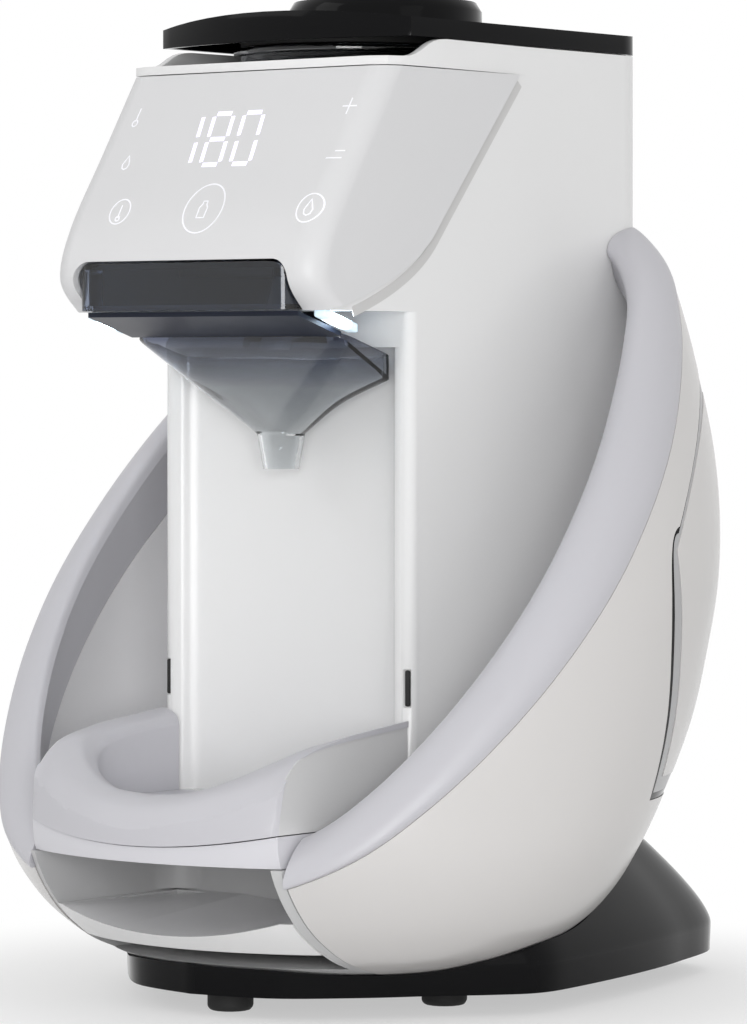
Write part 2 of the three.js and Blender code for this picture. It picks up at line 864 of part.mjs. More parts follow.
function funnelLoops(inset, drop) {
  const half = funnelHalfWidth - inset;
  const front = funnelFront + inset;
  const back = funnelBack - inset;
  const cone = coneRadius - inset;
  const spout = spoutRadius - inset;
  const rimShare = (y) => (y - funnelFront) / (funnelBack - funnelFront);
  const rimEnd = (y) => funnelTop(y) - funnelRimFront - (funnelRim - funnelRimFront) * rimShare(y) - drop;
  const middle = (y) => rimEnd(y) + (coneHeight - rimEnd(y)) * middleShare;
  return [
    funnelLoop(half, front, back, cornerPower, funnelTop),
    funnelLoop(half, front, back, cornerPower, rimEnd),
    funnelLoop((half + cone) / 2, (front + spoutY - cone) / 2, (back + spoutY + cone) / 2, 3, middle),
    funnelLoop(cone, spoutY - cone, spoutY + cone, 2, coneHeight - drop),
    funnelLoop(spout, spoutY - spout, spoutY + spout, 2, spoutBottom),
  ];
}

// Funnel: a box that narrows to the spout, with a flange that runs forward to the lip
function makeFunnel() {
  const outer = funnelLoops(0, 0).reverse();
  const inner = funnelLoops(funnelWall, funnelWall * 0.3);
  const join = funnelFront + funnelWall / 2;
  const flange = pullX(outline([
    [flangeFront, funnelTop(flangeFront)],
    [join, funnelTop(join)],
    [join, funnelTop(join) - funnelWall],
    [flangeFront, funnelTop(flangeFront) - funnelWall],
  ]), -lipHalfWidth, lipHalfWidth);
  return ringLoft([...outer, ...inner]).add(flange);
}

function makeLip() {
  const bottom = underAt(flangeFront) - gap;
  const face = new THREE.Shape();
  face.moveTo(-lipHalfWidth, 0);
  face.lineTo(lipHalfWidth, 0);
  face.absarc(lipHalfWidth - lipCorner, lipTop - lipCorner, lipCorner, 0, Math.PI / 2);
  face.absarc(-lipHalfWidth + lipCorner, lipTop - lipCorner, lipCorner, Math.PI / 2, Math.PI);
  const body = pullZ(plan(lipHalfWidth, lipFront, lipBack, lipCorner, gap), bottom, lipTop, 6);
  return body.intersect(pullY(face, lipFront - gap, lipBack + gap, 6));
}

// Lid
function lidShape(inset) {
  const rise = lidShoulder - lidFront;
  const radius = (towerHalfWidth ** 2 + rise ** 2) / (2 * rise);
  const shape = new THREE.Shape();
  const side = towerHalfWidth - inset;
  const back = towerBack - inset;
  const corner = towerBackRadius - inset;
  const reach = Math.asin(side / (radius - inset));
  shape.absarc(0, lidFront + radius, radius - inset, -Math.PI / 2 - reach, -Math.PI / 2 + reach);
  shape.lineTo(side, back - corner);
  shape.absarc(side - corner, back - corner, corner, 0, Math.PI / 2);
  shape.lineTo(-side + corner, back);
  shape.absarc(-side + corner, back - corner, corner, Math.PI / 2, Math.PI);
  return shape;
}

// Everything under the arched top of the lid, lowered by drop
function underCrown(drop) {
  const shape = new THREE.Shape();
  const side = towerHalfWidth + gap;
  shape.moveTo(-side, lidTop - lidCrown - drop);
  shape.quadraticCurveTo(0, lidTop + lidCrown - drop, side, lidTop - lidCrown - drop);
  shape.lineTo(side, lidBottom - overrun);
  shape.lineTo(-side, lidBottom - overrun);
  return pullY(shape, -everywhere, everywhere, 12);
}

function makeLid() {
  const top = pullZ(lidShape(0), lidBottom, dishTop, 10).intersect(underCrown(0));
  const hollow = pullZ(lidShape(lidWall), lidBottom - gap, dishTop, 10).intersect(underCrown(lidWall));
  const dish = moved(turned([
    [0, lidTop - lidWall], [dishRadius, lidTop - lidWall],
    [dishRadius, lidTop + (dishTop - lidTop) / 2], [dishRadius * 0.94, dishTop],
    [dishRadius * 0.84, dishTop], [dishRadius * 0.78, dishFloor], [0, dishFloor],
  ], fineSteps), 0, dishY, 0);
  return top.subtract(hollow).add(dish);
}

function makeSeal() {
  const ring = turned([
    [hopperRadius - sealWidth, hopperTop + 2 * gap],
    [hopperRadius, hopperTop + 2 * gap],
    [hopperRadius, lidTop],
    [hopperRadius - sealWidth, lidTop],
    [hopperRadius - sealWidth, hopperTop + 2 * gap],
  ]);
  return moved(ring, 0, hopperY, 0).intersect(underCrown(lidWall + gap));
}

// Hopper with its stirrer and metering wheel
function makeHopper() {
  const cup = moved(turned([
    [0, hopperBottom], [hopperRadius, hopperBottom],
    [hopperRadius, hopperTop - hopperRim], [hopperRadius + hopperRim, hopperTop - hopperRim],
    [hopperRadius + hopperRim, hopperTop], [hopperRadius - hopperWall, hopperTop],
    [hopperRadius - hopperWall, hopperBottom + hopperWall], [0, hopperBottom + hopperWall],
  ]), 0, hopperY, 0);
  const shaftHole = disc(shaftRadius + gap, 0, wheelBottom, 0, hopperY);
  const outlet = disc(outletRadius, 0, wheelBottom, 0, hopperY - outletReach);
  return cup.subtract(shaftHole).subtract(outlet);
}

function makeWheel() {
  let wheel = disc(wheelRadius, wheelBottom, wheelTop, 0, hopperY);
  for (let i = 0; i < pocketCount; i += 1) {
    const angle = (2 * Math.PI * i) / pocketCount - Math.PI / 2;
    const x = outletReach * Math.cos(angle);
    const y = hopperY + outletReach * Math.sin(angle);
    wheel = wheel.subtract(disc(pocketRadius, 0, hopperTop, x, y, roughSteps / 2));
  }
  return wheel.subtract(disc(shaftRadius + gap, 0, hopperTop, 0, hopperY));
}

function makeStirrer() {
  let stirrer = disc(shaftRadius, gearTop - gap, stirrerTop, 0, hopperY);
  for (const share of [0.25, 0.6, 0.95]) {
    const bottom = wheelTop + gap * 2 + share * (stirrerTop - wheelTop - bladeHeight - 2 * gap);
    const blade = block(-stirrerReach, stirrerReach, -bladeThickness / 2, bladeThickness / 2,
      bottom, bottom + bladeHeight).rotate([0, 0, 180 * share]);
    stirrer = stirrer.add(moved(blade, 0, hopperY, 0));
  }
  return stirrer;
}

// Spur gear: trapezoid teeth round a pitch circle
function gear(teeth, bottom, top, bore, turn) {
  const pitch = (teeth * gearModule) / 2;
  const shape = new THREE.Shape();
  const at = (radius, angle) => new THREE.Vector2(radius * Math.cos(angle), radius * Math.sin(angle));
  const step = (2 * Math.PI) / teeth;
  const points = [];
  for (let i = 0; i < teeth; i += 1) {
    const middle = i * step + turn;
    const root = pitch - 1.25 * gearModule;
    const tip = pitch + gearModule - toothPlay;
    const thin = toothPlay / pitch;
    points.push(at(root, middle - 0.36 * step + thin), at(tip, middle - 0.13 * step + thin / 2));
    points.push(at(tip, middle + 0.13 * step - thin / 2), at(root, middle + 0.36 * step - thin));
  }
  shape.setFromPoints(points);
  const hole = new THREE.Path();
  hole.absarc(0, 0, bore, 0, 2 * Math.PI, true);
  shape.holes.push(hole);
  return pullZ(shape, bottom, top, 8);
}

const gearSpacing = ((driveTeeth + pinionTeeth) * gearModule) / 2;
const pinionY = hopperY + gearSpacing;

function makeDriveGear() {
  const wheel = gear(driveTeeth, gearBottom, gearTop - gap * 2, shaftRadius / 2, Math.PI / 2);
  return moved(wheel, 0, hopperY, 0);
}

function makePinion() {
  const turn = Math.PI / pinionTeeth - Math.PI / 2;
  const wheel = moved(gear(pinionTeeth, gearBottom, gearTop, shaftRadius / 2, turn), 0, pinionY, 0);
  const shaft = disc(shaftRadius, deckBottom - shaftRadius, gearTop, 0, pinionY);
  return wheel.add(shaft);
}

function makeDeck() {
  const deck = pullZ(plan(
    towerHalfWidth - towerWall - gap, towerWall + gap, tankFront - gap,
    towerFrontRadius, towerFrontRadius,
  ), deckBottom, deckTop);
  return deck
    .subtract(disc(shaftRadius + gap, 0, hopperTop, 0, pinionY))
    .subtract(disc(outletRadius + hopperWall, 0, hopperTop, 0, hopperY - outletReach));
}

function makeMotor() {
  const can = disc(motorRadius, deckBottom - gap - motorHeight, deckBottom - gap, 0, pinionY);
  const bore = disc(shaftRadius + gap, deckBottom - shaftRadius - gap, deckTop, 0, pinionY);
  const low = deckBottom - motorHeight;
  const tail = disc(motorRadius / 2, low - motorRadius / 2, low, 0, pinionY);
  return can.add(tail).subtract(bore);
}

function makeChute() {
  const top = deckBottom - gap;
  const outer = [
    [outletRadius + hopperWall, hopperY - outletReach, top],
    [outletRadius, (hopperY - outletReach + feedBack) / 2 - outletRadius, (top + underAt(feedBack)) / 2],
    [outletRadius * 0.8, feedBack - outletRadius * 1.4, underAt(feedBack) + feedWall],
  ];
  const loops = (shrink) => outer.map(([r, y, z]) => Array.from({ length: roughSteps }, (_, i) => {
    const angle = (2 * Math.PI * i) / roughSteps - Math.PI / 2;
    return new THREE.Vector3((r - shrink) * Math.cos(angle), y + (r - shrink) * Math.sin(angle), z);
  }));
  return ringLoft([...loops(0).reverse(), ...loops(chuteWall)]);
}

// Water tank and what it feeds
function makeTank() {
  const body = pullZ(plan(tankHalfWidth, tankFront, tankBack, visorRadius, towerBackRadius - towerWall),
    tankBottom, tankTop, 5);
  const inside = plan(
    tankHalfWidth - tankWall, tankFront + tankWall, tankBack - tankWall,
    visorRadius - tankWall, towerBackRadius - towerWall - tankWall,
  );
  const room = pullZ(inside, tankBottom + tankWall, tankTop + overrun, 5);
  const neck = disc(tankNeckRadius, tankNeckBottom, tankBottom + tankWall, 0, tankY);
  const drain = disc(tankNeckRadius - tankWall, 0, tankBottom + tankWall + overrun, 0, tankY);
  return body.subtract(room).add(neck).subtract(drain);
}

function makeSocket() {
  const low = tankNeckBottom - socketHeight / 2;
  const top = tankBottom - gap;
  const cup = turned([
    [tankNeckRadius - tankWall, low], [tankNeckRadius + 3 * tankWall, low],
    [tankNeckRadius + 3 * tankWall, top], [tankNeckRadius + gap, top],
    [tankNeckRadius + gap, tankNeckBottom - gap], [tankNeckRadius - tankWall, tankNeckBottom - gap],
    [tankNeckRadius - tankWall, low],
  ]);
  return moved(cup, 0, tankY, 0);
}

function makePump() {
  const body = disc(pumpRadius, pumpBottom, pumpTop, pumpX, machineY);
  const head = disc(pumpRadius * 0.7, pumpTop - gap, pumpTop + pumpRadius / 2, pumpX, machineY);
  const middle = (pumpBottom + pumpTop) / 2;
  const collarRing = disc(pumpRadius + tankWall, middle - tankWall, middle + tankWall, pumpX, machineY);
  return body.add(head).add(collarRing);
}

function makeHeater() {
  let body = disc(heaterRadius * 0.86, pumpBottom, heaterTop, heaterX, machineY, roughSteps);
  const pitch = (heaterTop - pumpBottom) / (heaterRings + 1);
  for (let i = 1; i <= heaterRings; i += 1) {
    const z = pumpBottom + i * pitch;
    body = body.add(disc(heaterRadius, z - pitch / 5, z + pitch / 5, heaterX, machineY, roughSteps));
  }
  return body;
}

function makeMachineTray() {
  const shape = plan(
    towerHalfWidth - 3 * towerWall, boardY + boardThickness * 4, machineY + pumpRadius * 1.5,
    visorRadius, visorRadius,
  );
  const sheet = pullZ(shape, pumpBottom - gap - traySheet, pumpBottom - gap, 4);
  return sheet.intersect(eggSolid(linerInset + towerWall + 3 * gap));
}

function makeBoard() {
  return block(-boardWidth / 2, boardWidth / 2, boardY, boardY + boardThickness,
    boardBottom, boardBottom + boardHeight);
}

const tongueBottom = beltHeight + beltRise;

// Everything under the curved lower edge of the shelf, which rises towards its sides
function underBelt(lower) {
  const shape = new THREE.Shape();
  const sideHeight = beltHeight + beltRise - lower;
  shape.moveTo(-shelfHalfWidth - gap, sideHeight);
  shape.quadraticCurveTo(0, sideHeight - 2 * beltRise, shelfHalfWidth + gap, sideHeight);
  shape.lineTo(shelfHalfWidth + gap, 0);
  shape.lineTo(-shelfHalfWidth - gap, 0);
  return pullY(shape, -everywhere, overrun, 12);
}

// Sections are closed loops of points, joined in order, with both flat ends towards +Y
function sweep(sections) {
  const count = sections[0].length;
  const faces = [];
  for (let row = 0; row + 1 < sections.length; row += 1) {
    for (let i = 0; i < count; i += 1) {
      const a = row * count + i;
      const b = row * count + ((i + 1) % count);
      faces.push(a, b, b + count, a, b + count, a + count);
    }
  }
  const end = (sections.length - 1) * count;
  for (const from of [0, end]) {
    const flat = sections[from / count].map((p) => new THREE.Vector2(p.x, p.z));
    for (const [a, b, c] of THREE.ShapeUtils.triangulateShape(flat, [])) {
      faces.push(from + a, from + c, from + b);
    }
  }
  const geometry = new THREE.BufferGeometry();
  const places = sections.flat().flatMap((p) => [p.x, p.y, p.z]);
  geometry.setAttribute("position", new THREE.Float32BufferAttribute(places, 3));
  geometry.setIndex(faces);
  return toSolid(geometry);
}

// Bottle shelf: a soft rim swept round the well, cut back to a plug of the egg
function shelfSection([inner, crown, outer, halfway], side) {
  const widen = (side * shelfHalfWidth) / shelfRowHalfWidth;
  const deepen = eggHalfDepth / shelfRowHalfDepth;
  const at = ([x, y], z) => new THREE.Vector3(widen * x, deepen * y, z);
  const towards = (from, to, share) => from.map((value, i) => value + (to[i] - from[i]) * share);
  const lip = towards(inner, crown, 0.4);
  return [
    at(inner, shelfBottom),
    at(inner, inner[2] - holeRound),
    at(towards(inner, crown, 0.12), inner[2] - holeRound * 0.3),
    at(lip, lip[2]),
    at(crown, crown[2]),
    at(towards(crown, outer, 0.5), halfway),
    at(towards(crown, outer, 0.82), (halfway + outer[2] * 1.4) / 2.4),
    at(outer, outer[2]),
    at(outer, beltHeight),
    at(towards(inner, outer, 0.2), beltHeight),
  ];
}

function shelfStations(between) {
  const sections = shelfRows.map((row) => shelfSection(row, 1));
  const along = (i) => new THREE.CatmullRomCurve3(sections.map((section) => section[i]));
  const lines = sections[0].map((_, i) => along(i));
  const steps = (shelfRows.length - 1) * between;
  const right = Array.from({ length: steps + 1 }, (_, k) => (
    lines.map((line) => line.getPoint(k / steps))
  ));
  const left = right.slice(1).reverse().map((section) => section.map(
    (p) => new THREE.Vector3(-p.x, p.y, p.z),
  ));
  return [...left, ...right];
}

function makeShelf() {
  const rim = sweep(shelfStations(3));
  const reach = shelfRows[0][0][1];
  const half = shelfHalfWidth - bayCheek + gap;
  const floor = pullZ(plan(half + gap, reach, -gap * 2, half * 0.8, gap), beltHeight, shelfFloor, 8);
  const pocket = block(-half + visorRadius, half - visorRadius, reach + visorRadius, -towerWall * 3,
    0, shelfFloor - towerWall);
  const cheeks = block(-shelfHalfWidth, shelfHalfWidth, -everywhere, -gap * 2, 0, eggTop);
  return rim.add(floor).intersect(egg).intersect(cheeks).subtract(pocket).subtract(underBelt(0))
    .add(makeTongue(-1)).add(makeTongue(1));
}

function makeSkirt() {
  const back = -gap * 2;
  const sheet = eggSolid(skirtInset).intersect(block(
    -shelfHalfWidth + gap * 2, shelfHalfWidth - gap * 2, -everywhere, back, skirtBottom, tongueBottom,
  ));
  const room = eggSolid(skirtInset + skirtWall).intersect(block(
    -shelfHalfWidth + skirtWall * 2, shelfHalfWidth - skirtWall * 2, -everywhere, back - skirtWall * 2,
    0, beltHeight - gap - skirtWall,
  ));
  return sheet.intersect(underBelt(gap)).subtract(room);
}

function makeTongue(side) {
  return block(side * tongueX - tongueHalfWidth, side * tongueX + tongueHalfWidth,
    -towerWall * 2, tongueReach, tongueBottom, tongueBottom + tongueHeight);
}

function makeSlotLiner(side) {
  return block(side * slotX - slotHalfWidth + gap, side * slotX + slotHalfWidth - gap,
    gap, slotDepth - gap, slotLow + gap, slotHigh - gap);
}

// Drip tray and the dark bay that it slides into
function trayDish() {
  const radius = (trayHalfWidth ** 2 + trayDip ** 2) / (2 * trayDip);
  const shape = new THREE.Shape();
  shape.absarc(0, trayTop - trayDip + radius, radius, -Math.PI * 0.6, -Math.PI * 0.4);
  shape.lineTo(everywhere, eggTop);
  shape.lineTo(-everywhere, eggTop);
  return shape;
}

// The dish is tilted about the bowl's front, so that it is deepest there
const trayFront = eggPoint(0, trayTop, 0).y;
const trayLift = -trayFront * Math.sin(THREE.MathUtils.degToRad(trayTilt));

function makeTray() {
  const upper = egg.intersect(block(
    -trayHalfWidth, trayHalfWidth, -everywhere, trayBack, trayBottom, trayTop,
  ));
  const lower = eggSolid(gripInset).intersect(block(
    -trayHalfWidth, trayHalfWidth, -everywhere, trayBack, trayFoot, trayBottom + gap,
  ));
  const bowl = pullY(trayDish(), -everywhere, everywhere, 10).rotate([trayTilt, 0, 0]);
  const dish = moved(bowl, 0, 0, trayLift);
  const pocket = eggSolid(gripInset + trayWall).intersect(block(
    -trayHalfWidth + trayWall, trayHalfWidth - trayWall, -everywhere, trayBack - trayWall, 0, trayTop,
  )).subtract(moved(dish, 0, 0, -trayWall / 2));
  return upper.add(lower).subtract(dish).subtract(pocket);
}

function makeBay() {
  const outer = block(-channelHalfWidth + 2 * gap, channelHalfWidth - 2 * gap, -everywhere,
    trayBack + bayWall + gap, bayFloor, skirtBottom - gap);
  const inner = block(-trayHalfWidth - gap, trayHalfWidth + gap, -everywhere, trayBack + gap,
    trayFoot - gap, eggTop);
  return eggSolid(gap, shellSteps).intersect(outer).subtract(inner);
}

// Outline of the base in plan, from the middle of the front to the middle of the back
const baseHalf = new THREE.SplineCurve(outlineShares.map(([width, depth]) => (
  new THREE.Vector2(eggHalfWidth * width, tailBack * depth)
)));

function baseLoop(z, share, steps) {
  const right = baseHalf.getPoints(steps);
  const left = right.slice(1, -1).reverse().map((p) => new THREE.Vector2(-p.x, p.y));
  return [...right, ...left].map((p) => new THREE.Vector3(
    p.x * share, tailCentre + (p.y - tailCentre) * share, z,
  ));
}

function baseBlank(wall, steps) {
  const rows = tailRowShares.map(([height, share]) => {
    const z = plateTop + height * (tailTop - plateTop) - wall;
    return baseLoop(Math.max(z, baseBottom + wall + gap), share - wall / tailReach, steps);
  });
  const first = baseLoop(baseBottom + wall, tailRowShares[0][1] - (wall + gap) / tailReach, steps);
  return loft([first, ...rows]);
}

// Base: a low plate whose back rises behind the bowl, hollow behind
function makeBase() {
  const room = baseBlank(baseWall, smallSteps / 2).subtract(eggSolid(-baseWall));
  let base = baseBlank(0, smallSteps).subtract(eggSolid(-gap, shellSteps)).subtract(room);
  const back = tailBack - inletSetback;
  base = base.subtract(block(-inletHalfWidth - gap, inletHalfWidth + gap, back - inletDepth - gap,
    tailBack + overrun, inletBottom - gap, inletTop + gap));
  for (const [x, y] of Object.values(footPlaces)) {
    base = base.subtract(disc(footRadius * 0.7 + gap, 0, baseBottom + footPocket, x, y, roughSteps));
  }
  return base;
}

function makeFoot([x, y]) {
  return moved(turned([
    [0, 0], [footRadius * 0.86, 0], [footRadius, footRadius / 6], [footRadius, baseBottom - gap],
    [footRadius * 0.7, baseBottom - gap], [footRadius * 0.7, footHeight], [0, footHeight],
  ], roughSteps), x, y, 0);
}

function makeInlet() {
  const back = tailBack - inletSetback;
  const body = block(-inletHalfWidth, inletHalfWidth, back - inletDepth, back, inletBottom, inletTop);
  const mouth = block(
    -inletHalfWidth + traySheet, inletHalfWidth - traySheet, back - inletDepth / 2, tailBack,
    inletBottom + traySheet, inletTop - traySheet,
  );
  return body.subtract(mouth);
}

addPart("outer_shell", makeShell(), whitePlastic);
addPart("rear_cover", makeCover(), whitePlastic);
addPart("rear_cover_trim", makeCoverTrim(), blackGloss);
addPart("rim_bezel", makeBezel(), greyPlastic);
addPart("inner_bowl_left", makeLiner(-1), greyPlastic);
addPart("inner_bowl_right", makeLiner(1), greyPlastic);
addPart("tower_housing", makeTower(), whitePlastic);
addPart("bay_wall", makeBayWall(), whitePlastic);
addPart("head_visor", makeVisor(), whitePlastic);
addPart("head_top_plate", makeTopPlate(), whitePlastic);
addPart("led_lamp_left", lampStrip(-1, 0), lampLight);
addPart("led_lamp_right", lampStrip(1, 0), lampLight);
addPart("funnel", makeFunnel(), smoke);
addPart("funnel_lip", makeLip(), smoke);
addPart("lid", makeLid(), blackGloss);
addPart("lid_seal", makeSeal(), rubber);
addPart("powder_hopper", makeHopper(), smoke);
addPart("metering_wheel", makeWheel(), whitePlastic);
addPart("stirrer", makeStirrer(), whitePlastic);
addPart("drive_gear", makeDriveGear(), whitePlastic);
addPart("motor_pinion", makePinion(), steel);
addPart("hopper_deck", makeDeck(), darkGrey);
addPart("stirrer_motor", makeMotor(), steel);
addPart("powder_chute", makeChute(), whitePlastic);
addPart("water_tank", makeTank(), clear);
addPart("tank_socket", makeSocket(), rubber);
addPart("water_pump", makePump(), darkGrey);
addPart("water_heater", makeHeater(), steel);
addPart("machine_tray", makeMachineTray(), darkGrey);
addPart("control_board", makeBoard(), boardGreen);
addPart("suction_hose", tube([
  [0, tankY, tankNeckBottom - socketHeight / 2 - gap],
  [0, tankY, tankNeckBottom - socketHeight],
  [pumpX, machineY, pumpTop + pumpRadius * 1.2],
  [pumpX, machineY, pumpTop + pumpRadius / 2 + gap],
], tubeRadius), clear);
addPart("heater_hose", tube([
  [heaterX, machineY, heaterTop + gap],
  [heaterX, machineY, heaterTop + pumpRadius],
  [heaterX, boardY, deckBottom - socketHeight * 3],
  [feedHalfWidth + socketHeight, towerWall * 4, deckBottom - socketHeight],
], tubeRadius), clear);
addPart("bottle_shelf", makeShelf(), greyPlastic);
addPart("shelf_skirt", makeSkirt(), greyPlastic);
addPart("slot_liner_left", makeSlotLiner(-1), rubber);
addPart("slot_liner_right", makeSlotLiner(1), rubber);
addPart("drip_tray", makeTray(), whitePlastic);
addPart("tray_bay", makeBay(), darkGrey);
addPart("base", makeBase(), blackGloss);
addPart("power_inlet", makeInlet(), rubber);
for (const [name, place] of Object.entries(footPlaces)) addPart(name, makeFoot(place), rubber);

// The origin is the middle of the footprint, on the table
const extent = new THREE.Box3().setFromObject(product);
product.position.y = -(extent.min.y + extent.max.y) / 2;

export default product;
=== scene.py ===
# Baby formula maker, dressed for a studio photograph.
# Metres, +Z up, the front faces -Y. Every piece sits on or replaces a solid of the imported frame.

import json
import math

import bmesh
import bpy
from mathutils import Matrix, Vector


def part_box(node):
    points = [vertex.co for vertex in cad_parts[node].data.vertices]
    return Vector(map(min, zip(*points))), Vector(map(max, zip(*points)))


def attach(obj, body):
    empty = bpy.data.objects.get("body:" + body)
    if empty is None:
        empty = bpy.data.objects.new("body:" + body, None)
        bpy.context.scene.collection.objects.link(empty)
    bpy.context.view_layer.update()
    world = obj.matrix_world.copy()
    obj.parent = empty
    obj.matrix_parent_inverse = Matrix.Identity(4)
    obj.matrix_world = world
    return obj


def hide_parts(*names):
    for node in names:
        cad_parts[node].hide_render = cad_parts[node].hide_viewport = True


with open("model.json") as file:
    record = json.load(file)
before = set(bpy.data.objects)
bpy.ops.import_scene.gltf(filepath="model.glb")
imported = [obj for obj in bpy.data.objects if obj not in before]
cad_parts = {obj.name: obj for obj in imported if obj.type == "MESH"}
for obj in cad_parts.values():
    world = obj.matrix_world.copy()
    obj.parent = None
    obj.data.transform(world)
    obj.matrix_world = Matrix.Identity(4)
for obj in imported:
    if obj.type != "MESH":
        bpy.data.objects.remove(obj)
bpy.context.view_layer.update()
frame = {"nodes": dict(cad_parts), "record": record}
MM = 0.001
TURN = 2 * math.pi

slot_of = {entry["node"]: entry["material_slot"] for entry in frame["record"]["subparts"]}
body_of = {
    node: body
    for body, nodes in frame["record"]["behaviour"]["bodies"].items()
    for node in nodes
}
replaced = set()


def in_scene(name, data):
    """A new object of some data, linked to the scene."""
    thing = bpy.data.objects.new(name, data)
    bpy.context.scene.collection.objects.link(thing)
    return thing


# Camera of the photograph: it looks level from far off, and the picture is shifted downwards

VIEW_AZIMUTH = math.radians(38.7)
VIEW_DISTANCE = 1.8
VIEW_ASIDE = 0.0331
VIEW_HEIGHT = 0.2347
VIEW_AIM = Vector((0, -0.05188, 0))
LENS, SENSOR = 170.1, 36
HORIZON_SHIFT = -0.1387
CLIP_NEAR, CLIP_FAR = 0.05, 20


def make_camera():
    data = bpy.data.cameras.new("camera")
    data.lens = LENS
    data.sensor_width = SENSOR
    data.shift_y = HORIZON_SHIFT
    data.clip_start = CLIP_NEAR
    data.clip_end = CLIP_FAR
    camera = in_scene("camera", data)
    aside = Vector((math.cos(VIEW_AZIMUTH), math.sin(VIEW_AZIMUTH), 0))
    back = Vector((math.sin(VIEW_AZIMUTH), -math.cos(VIEW_AZIMUTH), 0))
    camera.location = VIEW_AIM + aside * VIEW_ASIDE + back * VIEW_DISTANCE
    camera.location.z = VIEW_HEIGHT
    camera.rotation_euler = (TURN / 4, 0, VIEW_AZIMUTH)
    bpy.context.scene.camera = camera


# Materials

NOISE_LOW, NOISE_HIGH = 0.3, 0.7
TINT_SCALE, TINT_SPREAD = 14, 0.006
GLOSS_SCALE, GLOSS_SPREAD = 60, 0.05
GRAIN_SCALE, GRAIN_DETAIL, GRAIN_DEPTH = 1500, 3, 0.0002
CLEAR_TINT_SCALE, CLEAR_TINT_SHARE = 20, 0.96
CLEAR_GLOSS_SCALE, CLEAR_ROUGHNESS, CLEAR_IOR = 80, 0.01, 1.49
LIT_SCALE, LIT_TINT_SHARE, LIT_ROUGHNESS = 40, 0.93, 0.4
SPOT_NEAR, SPOT_FAR, SPOT_FALL = 1 * MM, 7 * MM, 60


def new_material(name):
    material = bpy.data.materials.new(name)
    material.use_nodes = True
    tree = material.node_tree
    return material, tree, tree.nodes["Principled BSDF"]


def add(tree, kind, **values):
    node = tree.nodes.new(kind)
    for key, value in values.items():
        setattr(node, key, value)
    return node


def preset(node, values):
    for name, value in values.items():
        node.inputs[name].default_value = value


def noise(tree, scale, detail=2):
    where = add(tree, "ShaderNodeTexCoord")
    node = add(tree, "ShaderNodeTexNoise")
    preset(node, {"Scale": scale, "Detail": detail})
    tree.links.new(where.outputs["Object"], node.inputs["Vector"])
    return node.outputs["Fac"]


def between(tree, factor, low, high):
    """Noise spread over the values from low to high."""
    node = add(tree, "ShaderNodeMapRange")
    preset(node, {"From Min": NOISE_LOW, "From Max": NOISE_HIGH, "To Min": low, "To Max": high})
    tree.links.new(factor, node.inputs["Value"])
    return node.outputs["Result"]


def tinted(tree, factor, dark, light):
    """Noise spread over the colours from dark to light."""
    node = add(tree, "ShaderNodeValToRGB")
    low, high = node.color_ramp.elements
    low.position, high.position = NOISE_LOW, NOISE_HIGH
    low.color, high.color = (*dark, 1), (*light, 1)
    tree.links.new(factor, node.inputs["Fac"])
    return node.outputs["Color"]


def moulded(name, colour, roughness, grain=0.02, metallic=0.0, gloss=0.5):
    """Moulded plastic: a colour that drifts a little, uneven gloss and fine surface grain."""
    material, tree, shader = new_material(name)
    dark = tuple(c * (1 - TINT_SPREAD) for c in colour)
    light = tuple(c * (1 + TINT_SPREAD) for c in colour)
    tint = tinted(tree, noise(tree, TINT_SCALE), dark, light)
    tree.links.new(tint, shader.inputs["Base Color"])
    smoother, rougher = roughness * (1 - GLOSS_SPREAD), roughness * (1 + GLOSS_SPREAD)
    uneven = between(tree, noise(tree, GLOSS_SCALE), smoother, rougher)
    tree.links.new(uneven, shader.inputs["Roughness"])
    preset(shader, {"Metallic": metallic, "Specular IOR Level": gloss})
    bump = add(tree, "ShaderNodeBump")
    preset(bump, {"Strength": grain, "Distance": GRAIN_DEPTH})
    tree.links.new(noise(tree, GRAIN_SCALE, GRAIN_DETAIL), bump.inputs["Height"])
    tree.links.new(bump.outputs["Normal"], shader.inputs["Normal"])
    return material


def clear(name, rougher):
    """Clear plastic that still lacks its tint."""
    material, tree, shader = new_material(name)
    uneven = between(tree, noise(tree, CLEAR_GLOSS_SCALE), CLEAR_ROUGHNESS, rougher)
    tree.links.new(uneven, shader.inputs["Roughness"])
    preset(shader, {"Transmission Weight": 1.0, "IOR": CLEAR_IOR})
    return material, tree, shader


def see_through(name, colour):
    material, tree, shader = clear(name, 0.016)
    dark = tuple(c * CLEAR_TINT_SHARE for c in colour)
    tint = tinted(tree, noise(tree, CLEAR_TINT_SCALE), dark, colour)
    tree.links.new(tint, shader.inputs["Base Color"])
    return material


def smoke_with_painted_shade(name, stops):
    """Clear smoked plastic, darkened towards the top by painted shade under the head: stops of
    height in mm and colour.
    """
    material, tree, shader = clear(name, 0.02)
    low, high = stops[0][0], stops[-1][0]
    where = add(tree, "ShaderNodeTexCoord")
    split = add(tree, "ShaderNodeSeparateXYZ")
    tree.links.new(where.outputs["Object"], split.inputs["Vector"])
    share = add(tree, "ShaderNodeMapRange")
    preset(share, {"From Min": low * MM, "From Max": high * MM})
    tree.links.new(split.outputs["Z"], share.inputs["Value"])
    ramp = add(tree, "ShaderNodeValToRGB")
    elements = ramp.color_ramp.elements
    while len(elements) < len(stops):
        elements.new(0.5)
    for element, (height, colour) in zip(elements, stops):
        element.position = (height - low) / (high - low)
        element.color = (*colour, 1)
    tree.links.new(share.outputs["Result"], ramp.inputs["Fac"])
    tree.links.new(ramp.outputs["Color"], shader.inputs["Base Color"])
    return material


